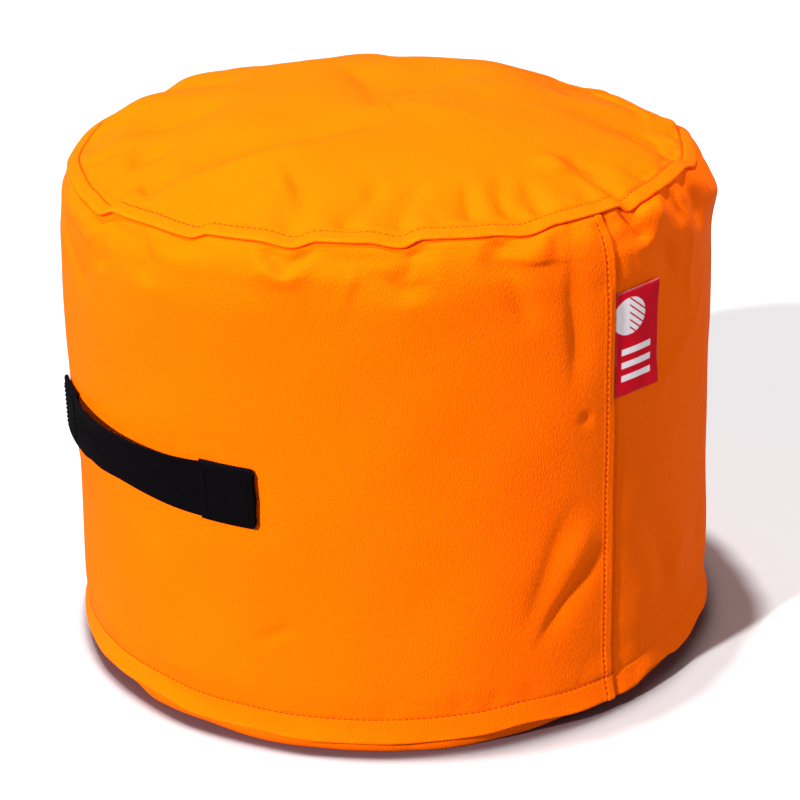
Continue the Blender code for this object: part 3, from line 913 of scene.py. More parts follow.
@dataclass(frozen=True)
class FoamBeads:
    """Settled polystyrene beads."""

    colour: Colour = (0.86, 0.86, 0.85)

    def material(self, effects: Effects, name: str) -> bpy.types.Material:
        """Builds the material."""
        made, graph, shader = new_material(name)
        place = graph.place()
        beads = graph.node("TexVoronoi", {"Vector": place, "Scale": 260.0, "Randomness": 0.8}, feature="F1")
        ball = graph.ramp(beads.outputs["Distance"], 0.75, 0.0)
        tone = effects.use(graph, effects.drift, {"Vector": place, "Colour": self.colour, "Amount": 0.04})
        # Dark grey between the beads: painted shade in the crevices.
        colour = graph.blend(ball, (0.35, 0.35, 0.34), tone.outputs["Colour"])
        graph.put(shader.inputs["Base Color"], colour)
        graph.put(shader.inputs["Roughness"], graph.times_plus(ball, -0.2, 0.8))
        set_bump(graph, shader, ball, 0.0015, 0.9)
        return made


class Finishes:
    """Every finish of the pouf, made once."""

    def __init__(self) -> None:
        """Builds the shared effects and the materials."""
        effects = Effects()
        webbing = WovenCloth(
            (0.0002, 0.0001, 0.0003), (0.0022, 0.0014, 0.0026), 0.00135, 0.0011, 0.00050,
            roughness=0.75, sheen=0.0, specular=0.03,
        )
        tape = WovenCloth((0.008, 0.007, 0.008), (0.03, 0.027, 0.03), 0.0007, 0.0006, 0.0002, 0.8, 0.1, False)
        lining = WovenCloth((0.62, 0.62, 0.6), (0.8, 0.8, 0.78), 0.0006, 0.0006, 0.0001, 0.85, 0.1, False)
        backing = WovenCloth(
            (0.02, 0.02, 0.022), (0.06, 0.06, 0.065), 0.0009, 0.0009, 0.0002, 0.85, 0.1, False
        )
        self.leather = LeatherCloth().material(effects, "orange_leather_cloth")
        top_leather = LeatherCloth(drawn_out=(1.0, 0.45, 1.0))
        self.top_leather = top_leather.material(effects, "orange_leather_cloth_top")
        self.thread = SewingThread((0.42, 0.026, 0.001), specular=0.05).material(effects, "orange_thread")
        black_thread = SewingThread((0.002, 0.0015, 0.0022), specular=0.02)
        self.black_thread = black_thread.material(effects, "black_thread")
        self.webbing = webbing.material(effects, "black_webbing")
        self.tape = tape.material(effects, "zip_tape_cloth")
        self.lining = lining.material(effects, "liner_weave")
        self.backing = backing.material(effects, "backing_weave")
        self.label = LabelCloth().material(effects, "crimson_damask")
        self.nylon = CastMetal((0.03, 0.028, 0.03), 0.0, 0.42).material(effects, "nylon_teeth")
        self.metal = CastMetal((0.55, 0.55, 0.56), 1.0, 0.36).material(effects, "plated_metal")
        self.beads = FoamBeads().material(effects, "foam_beads")


# ---------------------------------------------------------------- the cover


def wall_fold(
    line: tuple[tuple[float, float], ...], height: float, width: float, lean: float = 0.0, **ends: float
) -> Fold:
    """A fold of the wall whose line is given as (azimuth, height) pairs."""
    flat = tuple((math.radians(azimuth) * CoverForm.radius, z) for azimuth, z in line)
    return Fold(flat, height, width, lean, **ends)


@dataclass
class CoverForm:
    """The resting shape of the stuffed cover, from its plain outline and its relief."""

    radius: float = 0.2405
    wall: Outline = Outline(
        (
            (0.2185, 0.3602), (0.2222, 0.3632), (0.2258, 0.3646), (0.2292, 0.3628), (0.2325, 0.3588),
            (0.2358, 0.3530), (0.2384, 0.3440), (0.2398, 0.3340), (0.2405, 0.3220), (0.2406, 0.3050),
            (0.2406, 0.2800), (0.2407, 0.2500), (0.2409, 0.2200), (0.2411, 0.1900), (0.2414, 0.1600),
            (0.2417, 0.1300), (0.2420, 0.1050), (0.2423, 0.0820), (0.2426, 0.0620), (0.2428, 0.0470),
            (0.2430, 0.0360), (0.2430, 0.0310), (0.2428, 0.0275), (0.2434, 0.0235), (0.2443, 0.0190),
            (0.2452, 0.0150), (0.2459, 0.0122), (0.2458, 0.0108), (0.2446, 0.0103), (0.2436, 0.0118),
            (0.2428, 0.0160), (0.2420, 0.0220), (0.2412, 0.0270),
        ),
        zero=2,
    )  # fmt: skip
    top: Outline = Outline(
        (
            (0.2195, 0.3636), (0.2235, 0.3642), (0.2268, 0.3646), (0.2286, 0.3655), (0.2287, 0.3668),
            (0.2274, 0.3680), (0.2250, 0.3694), (0.2222, 0.3706), (0.2202, 0.3713), (0.2194, 0.3713),
            (0.2186, 0.3716), (0.2165, 0.3731), (0.2120, 0.3752), (0.2050, 0.3778), (0.1950, 0.3812),
            (0.1800, 0.3861), (0.1600, 0.3917), (0.1350, 0.3977), (0.1050, 0.4029), (0.0700, 0.4067),
            (0.0350, 0.4085), (0.0, 0.4089),
        ),
        zero=4,
    )  # fmt: skip
    seam_lift: Wave = Wave(
        (
            (-60, 0.0012), (-40, -0.0015), (-24, 0.0012), (-12, -0.0020), (-5.5, -0.0048), (-1.5, 0.0002),
            (8, 0.0), (18, -0.0022), (21.5, 0.0014), (30, 0.0011), (36.3, -0.0018), (40.6, 0.0024),
            (48.4, 0.0017), (54, -0.0016), (57.4, 0.0024), (68.5, 0.0007), (74.8, -0.0022), (81, 0.0011),
            (89.2, 0.0014), (94.1, 0.0016), (96.1, -0.0032), (101, -0.0006), (105.5, 0.0008), (118.8, 0.0024),
            (126, -0.0014), (138, 0.0020), (152, -0.0018), (170, 0.0016), (186, -0.0020), (203, 0.0014),
            (219, -0.0012), (236, 0.0018), (252, -0.0022), (268, 0.0012), (284, -0.0008),
        )
    )  # fmt: skip
    tilt: Wave = Wave(
        (
            (-55, 0.0068), (-40, 0.0012), (-20, 0.0), (116, 0.0), (134, -0.0058), (147, -0.0016),
            (157, -0.0070), (167, -0.0100), (176, -0.0044), (184, -0.0008), (192, 0.0014),
            (205, -0.0026), (220, -0.0016), (235, 0.0018), (258, 0.0046), (282, 0.0086),
        )
    )  # fmt: skip
    hem_lift: Wave = Wave(
        (
            (-38, 0.0035), (-26, 0.0010), (-17.6, 0.0022), (-6, 0.0030), (6, 0.0042), (16, 0.0014),
            (24, 0.0018), (33, 0.0006), (50, 0.0004), (64, 0.0008), (72, 0.0030), (82, 0.0), (91, -0.0004),
            (94.5, 0.0004), (99.5, 0.0066), (104.5, 0.0060), (108, 0.0036), (113, 0.0034), (119.5, 0.0072),
            (126, 0.0050), (150, 0.0), (172, 0.0030), (196, 0.0004), (222, 0.0026), (248, 0.0), (272, 0.0030),
            (300, 0.0002),
        )
    )  # fmt: skip
    wall_drift: Drift = Drift(11, 0.0011, 0.26, 0.06)
    top_drift: Drift = Drift(12, 0.0012, 0.20, 0.05)
    wall_puckers: Puckers = Puckers(21, 40, 0.0030, 0.0050, 0.048)
    wall_ripples: Puckers = Puckers(22, 86, 0.0010, 0.0026, 0.018)
    top_puckers: Puckers = Puckers(21, 40, 0.0026, 0.0050, 0.045)
    top_ripples: Puckers = Puckers(23, 96, 0.0010, 0.0024, 0.016)
    hem_puckers: Puckers = Puckers(24, 64, 0.0013, 0.0042, 0.030)
    skirt_flare: Puckers = Puckers(25, 22, -0.0016, 0.0120, 0.05, 10.0)
    wall_folds: tuple[Fold, ...] = ()
    top_folds: tuple[Fold, ...] = ()
    band_rise: float = 0.0008
    band_width: float = 0.0076
    deepest: float = 0.0048
    wall_gain: float = 1.4
    top_gain: float = 2.3
    top_rise: float = 0.0024
    stitch_radius: float = 0.219
    liner_gap: float = 0.0012
    liner_radius: float = 0.2235
    liner_heights: tuple[float, float] = (0.3596, 0.4033)
    liner_power: float = 2.5

    def __post_init__(self) -> None:
        """Fills in the folds and the lengths of the seams."""
        self.wall_folds = (
            wall_fold(((30, 0.362), (32, 0.351), (35, 0.347), (38.5, 0.351), (41.2, 0.362)), 0.0036, 0.0042),
            wall_fold(((33, 0.361), (35.5, 0.354), (38, 0.361)), -0.0034, 0.0050, start=1, end=1),
            wall_fold(((43, 0.344), (47, 0.338)), 0.0012, 0.010, start=1),
            wall_fold(((-25, 0.352), (-14, 0.326), (-6, 0.300)), -0.0030, 0.014, 0.4),
            wall_fold(((-3, 0.362), (-4, 0.345), (-2, 0.322)), -0.0026, 0.0052, start=1),
            wall_fold(((8, 0.362), (10, 0.345), (9, 0.325)), -0.0020, 0.0060, start=1),
            wall_fold(((56, 0.362), (54, 0.346), (55, 0.326)), -0.0022, 0.0060, start=1),
            wall_fold(((69.5, 0.362), (70.5, 0.344), (73, 0.318), (74, 0.296)), -0.0026, 0.0064, start=1),
            wall_fold(((76, 0.358), (75.5, 0.345)), 0.0022, 0.0090, start=1),
            wall_fold(
                ((82, 0.354), (81.4, 0.320), (82.2, 0.280), (81.2, 0.245)), -0.0026, 0.0066, 0.3, start=0.6
            ),
            wall_fold(((94.6, 0.363), (96.5, 0.353), (99.5, 0.343)), -0.0034, 0.0042, 0.35, start=1),
            wall_fold(((99.4, 0.359), (102.5, 0.357)), 0.0042, 0.0078, start=1, end=1),
            wall_fold(((100, 0.346), (104, 0.326), (107, 0.300)), -0.0022, 0.0080, -0.3),
            wall_fold(((108, 0.364), (109.5, 0.352), (110, 0.336)), -0.0030, 0.0046, start=1),
            wall_fold(((112, 0.352), (112.6, 0.330), (111, 0.300), (112.5, 0.262)), 0.0018, 0.0036),
            wall_fold(((116.5, 0.362), (117.5, 0.345), (118, 0.322)), -0.0040, 0.0060, start=1),
            wall_fold(((125, 0.347), (131, 0.342), (136, 0.334)), 0.0040, 0.0110, start=1, end=1),
            wall_fold(((-50, 0.345), (-50, 0.280), (-48, 0.190)), -0.0056, 0.0560, start=1, end=1),
            wall_fold(((119, 0.330), (127, 0.322), (138, 0.318)), -0.0040, 0.0090),
            wall_fold(((124, 0.316), (118, 0.286), (112, 0.262), (104, 0.240), (99, 0.208)), 0.0018, 0.0052),
            wall_fold(((128, 0.300), (121, 0.255), (120, 0.215), (122, 0.172)), 0.0016, 0.0070),
            wall_fold(((131, 0.240), (125, 0.190), (117, 0.150)), -0.0018, 0.0075),
            wall_fold(((82.6, 0.238), (83.6, 0.232), (85.6, 0.229)), -0.0007, 0.0028),
            wall_fold(((85.2, 0.237), (83.6, 0.232), (82.6, 0.225)), -0.0006, 0.0026),
            wall_fold(((89.2, 0.140), (84.0, 0.118), (78.4, 0.092), (73.2, 0.062)), -0.0034, 0.0052, 0.45),
            wall_fold(((83.5, 0.186), (79.0, 0.148), (75.2, 0.108), (71.5, 0.074)), -0.0022, 0.0082, 0.3),
            wall_fold(((87, 0.160), (82, 0.136), (76.5, 0.104)), 0.0016, 0.0070),
            wall_fold(((26.8, 0.075), (31, 0.090), (35.6, 0.100)), -0.0010, 0.0030),
            wall_fold(((96, 0.150), (102, 0.115), (104, 0.080), (99, 0.050)), -0.0024, 0.0090, 0.3),
            wall_fold(((112, 0.120), (108, 0.085), (110, 0.052)), 0.0018, 0.0080),
            wall_fold(((126, 0.130), (121, 0.090), (119, 0.050)), -0.0022, 0.0080),
            wall_fold(((150, 0.352), (153, 0.322), (158, 0.285)), -0.0030, 0.0072, 0.3, start=1),
            wall_fold(((176, 0.350), (171, 0.318), (170, 0.272)), -0.0026, 0.0080, start=1),
            wall_fold(((160, 0.205), (170, 0.150), (182, 0.090)), -0.0018, 0.0090, 0.4),
            wall_fold(((-120, 0.355), (-114, 0.318), (-112, 0.262)), -0.0028, 0.0076, start=1),
            wall_fold(((-95, 0.345), (-97, 0.300), (-94, 0.240)), -0.0020, 0.0070),
            wall_fold(((-70, 0.356), (-66, 0.325), (-68, 0.290)), -0.0026, 0.0068, start=1),
            wall_fold(((-86, 0.150), (-77, 0.110), (-68, 0.064)), -0.0024, 0.0070, 0.4),
            wall_fold(((-108, 0.060), (-99, 0.110), (-96, 0.165)), -0.0020, 0.0080),
        )
        self.top_folds = (
            Fold(((-0.085, 0.030), (-0.030, 0.012), (0.022, -0.016)), -0.0022, 0.0130, 0.3, end=0.7),
            Fold(((0.022, -0.016), (0.060, -0.012), (0.105, 0.008)), 0.0015, 0.0115, start=0.4),
            Fold(((0.026, -0.006), (0.004, 0.042), (-0.014, 0.112)), -0.0024, 0.0130, 0.3, start=0.5),
            Fold(
                ((0.013, -0.206), (0.045, -0.160), (0.069, -0.120), (0.092, -0.026)),
                0.0030, 0.0130, -0.3, start=0.4,
            ),
            Fold(((-0.012, -0.190), (0.020, -0.138), (0.048, -0.088), (0.066, -0.030)), -0.0030, 0.0130, 0.3),
            Fold(((-0.060, -0.186), (-0.047, -0.172), (-0.028, -0.160)), -0.0028, 0.0085),
            Fold(((-0.012, -0.206), (-0.004, -0.196), (0.008, -0.186)), -0.0024, 0.0070),
            Fold(((-0.110, -0.160), (-0.082, -0.128), (-0.062, -0.082)), -0.0026, 0.0100, 0.3),
            Fold(((0.180, 0.026), (0.188, 0.031)), -0.0014, 0.0050, start=1, end=1),
            Fold(((0.160, 0.004), (0.176, 0.007), (0.192, 0.004)), 0.0020, 0.0080),
            Fold(((0.128, 0.124), (0.160, 0.118), (0.190, 0.112)), -0.0022, 0.0080, 0.3, end=1),
            Fold(((0.110, 0.150), (0.127, 0.172)), 0.0016, 0.0120, end=1),
            Fold(((0.080, 0.185), (0.070, 0.150), (0.072, 0.110)), -0.0030, 0.0100, start=1),
            Fold(((-0.020, 0.200), (-0.010, 0.160), (0.010, 0.125)), -0.0028, 0.0110, start=1),
            Fold(((-0.120, 0.160), (-0.095, 0.120), (-0.060, 0.095)), -0.0030, 0.0120, 0.3, start=1),
            Fold(((-0.190, 0.040), (-0.145, 0.030), (-0.100, 0.040)), -0.0026, 0.0110, start=1),
            Fold(((-0.180, -0.070), (-0.140, -0.055), (-0.105, -0.040)), -0.0022, 0.0120, start=1),
            Fold(((0.148, -0.150), (0.142, -0.124), (0.126, -0.100)), -0.0016, 0.0050, start=1),
            Fold(((0.170, -0.122), (0.158, -0.104), (0.146, -0.080)), -0.0013, 0.0050, start=1),
            Fold(((0.192, -0.082), (0.178, -0.072), (0.162, -0.058)), -0.0018, 0.0046, start=1),
            Fold(((0.200, -0.060), (0.184, -0.052), (0.170, -0.034)), -0.0013, 0.0046, start=1),
            Fold(((0.210, -0.036), (0.194, -0.032), (0.176, -0.022)), -0.0012, 0.0050, start=1),
            Fold(((0.090, -0.168), (0.098, -0.150)), 0.0018, 0.0110, start=1),
            Fold(((-0.030, 0.105), (-0.085, 0.062), (-0.110, 0.010)), 0.0016, 0.0500, start=1, end=1),
        )
        self.hem_stitch = self.wall.run_at(22)
        self.hem_edge = self.wall.run_at(27)
        self.top_stitch = self.top.run_at(9)
        self.settled_wall: SettledCloth | None = None
        self.settled_top: SettledCloth | None = None

    def settle(self) -> None:
        """Adds the wrinkles that the simulations of the wall and of the top give."""
        wall = SettledCloth("settling_wall", self, 0.0, self.hem_stitch, 60, 300, top=False)
        inner = self.top.run_at(20)
        top = SettledCloth("settling_top", self, self.top_stitch, inner, 42, 200, top=True)
        self.settled_wall, self.settled_top = wall, top

    def wall_places(self, azimuth: Array, run: Array) -> tuple[Array, Array, Array, Array]:
        """Radius, height and normal of the plain wall, moved by the seam's and the hem's waves."""
        r, z, out, up = self.wall.at(run)
        upper = from_edge(run, 0.034)
        lift = self.seam_lift.at(azimuth)
        z = z + lift * upper + 0.6 * self.tilt.at(azimuth) * from_edge(run, 0.10)
        r = r - 0.55 * lift * upper
        lower = smooth_step(run, self.hem_stitch - 0.03, self.hem_edge)
        z = z + self.hem_lift.at(azimuth) * lower
        return r, z, out, up

    def wall_relief(self, azimuth: Array, run: Array) -> Array:
        """How far the wall stands out of its plain outline, along its normal."""
        r, z, _, _ = self.wall.at(run)
        places = on_wall(r, azimuth, z)
        across = np.radians(turn_gap(azimuth, 0.0)) * self.radius
        above_hem = 1 - smooth_step(run, self.hem_stitch - 0.02, self.hem_stitch)
        inside = smooth_step(run, -0.002, 0.006) * above_hem
        relief = self.wall_drift.at(places) * inside
        relief += self.wall_puckers.at(azimuth, run, self.radius) * smooth_step(run, 0.001, 0.014)
        relief += self.wall_ripples.at(azimuth, run, self.radius) * smooth_step(run, 0.001, 0.008)
        above = self.hem_stitch - run
        relief += self.hem_puckers.at(azimuth, above, self.radius) * smooth_step(above, -0.002, 0.004)
        below = smooth_step(run, self.hem_stitch, self.hem_edge)
        relief += self.skirt_flare.at(azimuth, 0 * run, self.radius) * below
        for fold in self.wall_folds:
            low_fade = 1 - smooth_step(run, self.hem_stitch - 0.01, self.hem_stitch)
            relief += self.wall_gain * fold.at(across, z) * low_fade * smooth_step(run, 0.0, 0.008)
        relief += 0.0009 * inside
        if self.settled_wall:
            near_seam = 0.16 + 0.84 * from_edge(run, 0.045)
            relief += self.settled_wall.at(azimuth, run) * inside * near_seam
        sunk = 0.0016 - 0.5 * np.minimum(self.tilt.at(azimuth), 0.0)
        room = np.maximum(self.deepest - sunk * from_edge(run, 0.035), 0.0004)
        relief = np.maximum(relief, -room) * self.calm(azimuth, z)
        relief -= 0.0006 * bell(run - self.hem_stitch, 0.0011)
        return relief

    def radius_at(self, height: Array) -> Array:
        """The plain wall's radius at heights between the seam and the hem."""
        radius, z, _, _ = self.wall.at(np.linspace(0.03, 0.33, 200))
        return np.interp(-height, -z, radius)

    def calm(self, azimuth: Array, z: Array) -> Array:
        """Less relief under the label and under the handle, whose stitches hold the cloth flat."""
        near = 1 - smooth_step(np.abs(turn_gap(azimuth, 1.7)), 28.0, 33.0)
        near = near * (1 - smooth_step(np.abs(z - 0.192), 0.024, 0.045))
        label = 1 - smooth_step(np.abs(turn_gap(azimuth, 95.5)), 4.6, 7.0)
        label = label * (1 - smooth_step(np.abs(z - 0.277), 0.036, 0.048))
        return (1 - 0.75 * near) * (1 - 0.80 * label)

    def side_seam(self, azimuth: Array, run: Array, rear: bool) -> Array:
        """The folded band and groove of the side seams."""
        edge = np.radians(90 - np.abs(turn_gap(azimuth, 180.0 if rear else 0.0))) * self.radius
        if rear:
            tuck = -0.0017 * (1 - smooth_step(edge, -0.001, 0.0042))
            return tuck - 0.0005 * (1 - smooth_step(edge, 0.002, 0.012))
        band = self.band_rise * (1 - smooth_step(edge, self.band_width - 0.0006, self.band_width + 0.0030))
        groove = -0.0007 * bell(edge - self.band_width, 0.0009)
        roll = -0.0022 * (1 - np.sqrt(np.clip(1 - np.clip(1 - edge / 0.0016, 0, 1) ** 2, 0, 1)))
        return band + groove + roll

    def wall_at(self, azimuth: Array, run: Array, rear: bool = False, lift: float = 0.0) -> Array:
        """Points of the wall's outside.

        Args:
            azimuth: Azimuth of each point, in degrees.
            run: Length of each point from the top seam.
            rear: Whether the point is on the rear panel.
            lift: Extra distance off the cloth.

        Returns:
            The points.
        """
        azimuth, run = np.broadcast_arrays(np.asarray(azimuth, float), np.asarray(run, float))
        r, z, out, up = self.wall_places(azimuth, run)
        height = self.wall_relief(azimuth, run) + self.side_seam(azimuth, run, rear) + lift
        return on_wall(r + out * height, azimuth, z + up * height)

    def top_relief(self, azimuth: Array, run: Array) -> Array:
        """How far the top stands out of its plain outline, along its normal."""
        r, z, _, _ = self.top.at(run)
        places = on_wall(r, azimuth, z)
        inner = smooth_step(run, self.top_stitch - 0.001, self.top_stitch + 0.006)
        relief = self.top_drift.at(places) * smooth_step(run, self.top_stitch, self.top_stitch + 0.03)
        away = run - self.top_stitch
        for gathers in (self.top_puckers, self.top_ripples):
            pucker = gathers.at(azimuth, away, self.stitch_radius)
            relief += pucker * (0.30 + 0.70 * inner) * smooth_step(run, 0.0, 0.006)
        for fold in self.top_folds:
            share = 0.15 * smooth_step(run, 0.0, 0.004) + 0.85 * inner
            relief += self.top_gain * fold.at(places[..., 0], places[..., 1]) * share
        relief += self.top_rise * smooth_step(run, 0.02, 0.12)
        if self.settled_top:
            near_seam = 0.22 + 0.78 * from_edge(run, 0.045)
            relief += self.settled_top.at(azimuth, run) * inner * near_seam * smooth_step(r, 0.03, 0.09)
        relief = np.maximum(relief, -self.deepest)
        relief -= 0.0007 * bell(run - self.top_stitch, 0.0010)
        return relief

    def top_at(self, azimuth: Array, run: Array, lift: float = 0.0) -> Array:
        """Points of the top's outside.

        Args:
            azimuth: Azimuth of each point, in degrees.
            run: Length of each point in from the folded edge.
            lift: Extra distance off the cloth.

        Returns:
            The points.
        """
        azimuth, run = np.broadcast_arrays(np.asarray(azimuth, float), np.asarray(run, float))
        r, z, out, up = self.top.at(run)
        fade = from_edge(run, 0.034)
        wave = self.seam_lift.at(azimuth)
        tilt = self.tilt.at(azimuth) * np.clip(r / 0.15, 0, 1) ** 2
        z = z + 0.6 * tilt * from_edge(run, 0.10)
        z = z + 0.85 * tilt * hump((run - 0.045) / 0.028) * smooth_step(run, self.top_stitch, 0.04)
        height = self.top_relief(azimuth, run) + lift
        radius, rise = r - 0.55 * wave * fade - out * height, z + wave * fade - up * height
        low, high = self.liner_heights
        liner = low + (high - low) * (1 - np.clip(radius / self.liner_radius, 0, 1) ** self.liner_power)
        clear = np.maximum(rise, liner + self.liner_gap)
        return on_wall(radius, azimuth, np.where(run > self.top_stitch, clear, rise))


class SettledCloth:
    """Small wrinkles of a stuffed panel, from a short cloth simulation between its sewn edges."""

    frames: int = 20
    pressure: float = 4.0
    slack: float = 0.03
    cap: float = 0.0022

    def __init__(
        self, name: str, form: CoverForm, first: float, last: float, rows: int, columns: int, top: bool
    ) -> None:
        """Runs the simulation.

        Args:
            name: Name of the mesh while it is simulated.
            form: The cover's resting shape.
            first: Run of the first row.
            last: Run of the last row.
            rows: Rows of the mesh.
            columns: Columns round the pouf.
            top: Whether the panel is the top one.
        """
        self.first, self.last, self.rows, self.columns = first, last, rows, columns
        run = np.linspace(first, last, rows)[:, None]
        azimuth = (np.arange(columns) * 360.0 / columns)[None, :]
        place = form.top_at if top else form.wall_at
        start = place(azimuth, run)
        outward = (place(azimuth, run, lift=0.001) - start) / 0.001
        piece = fill_mesh(name, start.reshape(-1, 3), grid_faces(rows, columns, closed=True))
        if (np.array([face.normal for face in piece.data.polygons])[0] * outward[0, 0]).sum() < 0:
            piece.data.flip_normals()
        moved = self.simulate(piece, 1 if top else 2, start) - start
        relief = (moved * outward).sum(-1)
        relief -= relief.mean(axis=1, keepdims=True)
        LOG.info("%s: wrinkles up to %.1f mm before the cap", name, 1000 * np.abs(relief).max())
        self.relief = self.cap * np.tanh(relief / self.cap)
        bpy.data.objects.remove(piece, do_unlink=True)

    def simulate(self, piece: bpy.types.Object, sewn: int, start: Array) -> Array:
        """Blows the panel up softly from its resting shape, its cloth cut a little full.

        Args:
            piece: The panel.
            sewn: How many of its end rows are held: the first one, or both.
            start: The points of the panel, by row and column.

        Returns:
            The settled points, in the same order.
        """
        count = len(piece.data.vertices)
        held = list(range(self.columns))
        if sewn == 2:
            held += range(count - self.columns, count)
        piece.vertex_groups.new(name="sewn").add(held, 1.0, "ADD")
        cloth = piece.modifiers.new("settling", "CLOTH")
        cloth.settings.vertex_group_mass = "sewn"
        cloth.settings.quality = 5
        cloth.settings.tension_stiffness = cloth.settings.compression_stiffness = 20.0
        cloth.settings.shear_stiffness = 8.0
        cloth.settings.bending_stiffness = 0.8
        cloth.settings.use_pressure = True
        cloth.settings.uniform_pressure_force = self.pressure
        cloth.settings.shrink_min = -self.slack
        cloth.settings.effector_weights.gravity = 0.0
        cloth.point_cache.frame_start, cloth.point_cache.frame_end = 1, self.frames
        for frame_number in range(1, self.frames + 1):
            bpy.context.scene.frame_set(frame_number)
        settled = piece.evaluated_get(bpy.context.evaluated_depsgraph_get())
        points = np.empty(3 * count)
        settled.data.vertices.foreach_get("co", points)
        bpy.context.scene.frame_set(1)
        return points.reshape(start.shape)

    @staticmethod
    def weights(share: Array) -> list[Array]:
        """Weights of the four nearest samples of a smooth curve."""
        rest = 1.0 - share
        inner = (3 * share**3 - 6 * share**2 + 4) / 6
        return [rest**3 / 6, inner, (3 * rest**3 - 6 * rest**2 + 4) / 6, share**3 / 6]

    def at(self, azimuth: Array, run: Array) -> Array:
        """Relief at azimuths and runs."""
        row = np.clip((run - self.first) / (self.last - self.first), 0, 1) * (self.rows - 1)
        column = np.mod(azimuth, 360.0) / 360.0 * self.columns
        row, column = np.broadcast_arrays(row, column)
        low_row, low_column = np.floor(row).astype(int), np.floor(column).astype(int)
        found = np.zeros(row.shape)
        for i, row_weight in enumerate(self.weights(row - low_row)):
            for j, column_weight in enumerate(self.weights(column - low_column)):
                rows = np.clip(low_row + i - 1, 0, self.rows - 1)
                found += row_weight * column_weight * self.relief[rows, (low_column + j - 1) % self.columns]
        return found


def spread(*parts: tuple[float, float, int]) -> Array:
    """Values along a line whose parts have different spacing: (first, last, steps) of each part."""
    runs = [np.linspace(first, last, steps + 1)[:-1] for first, last, steps in parts]
    return np.concatenate([*runs, [parts[-1][1]]])


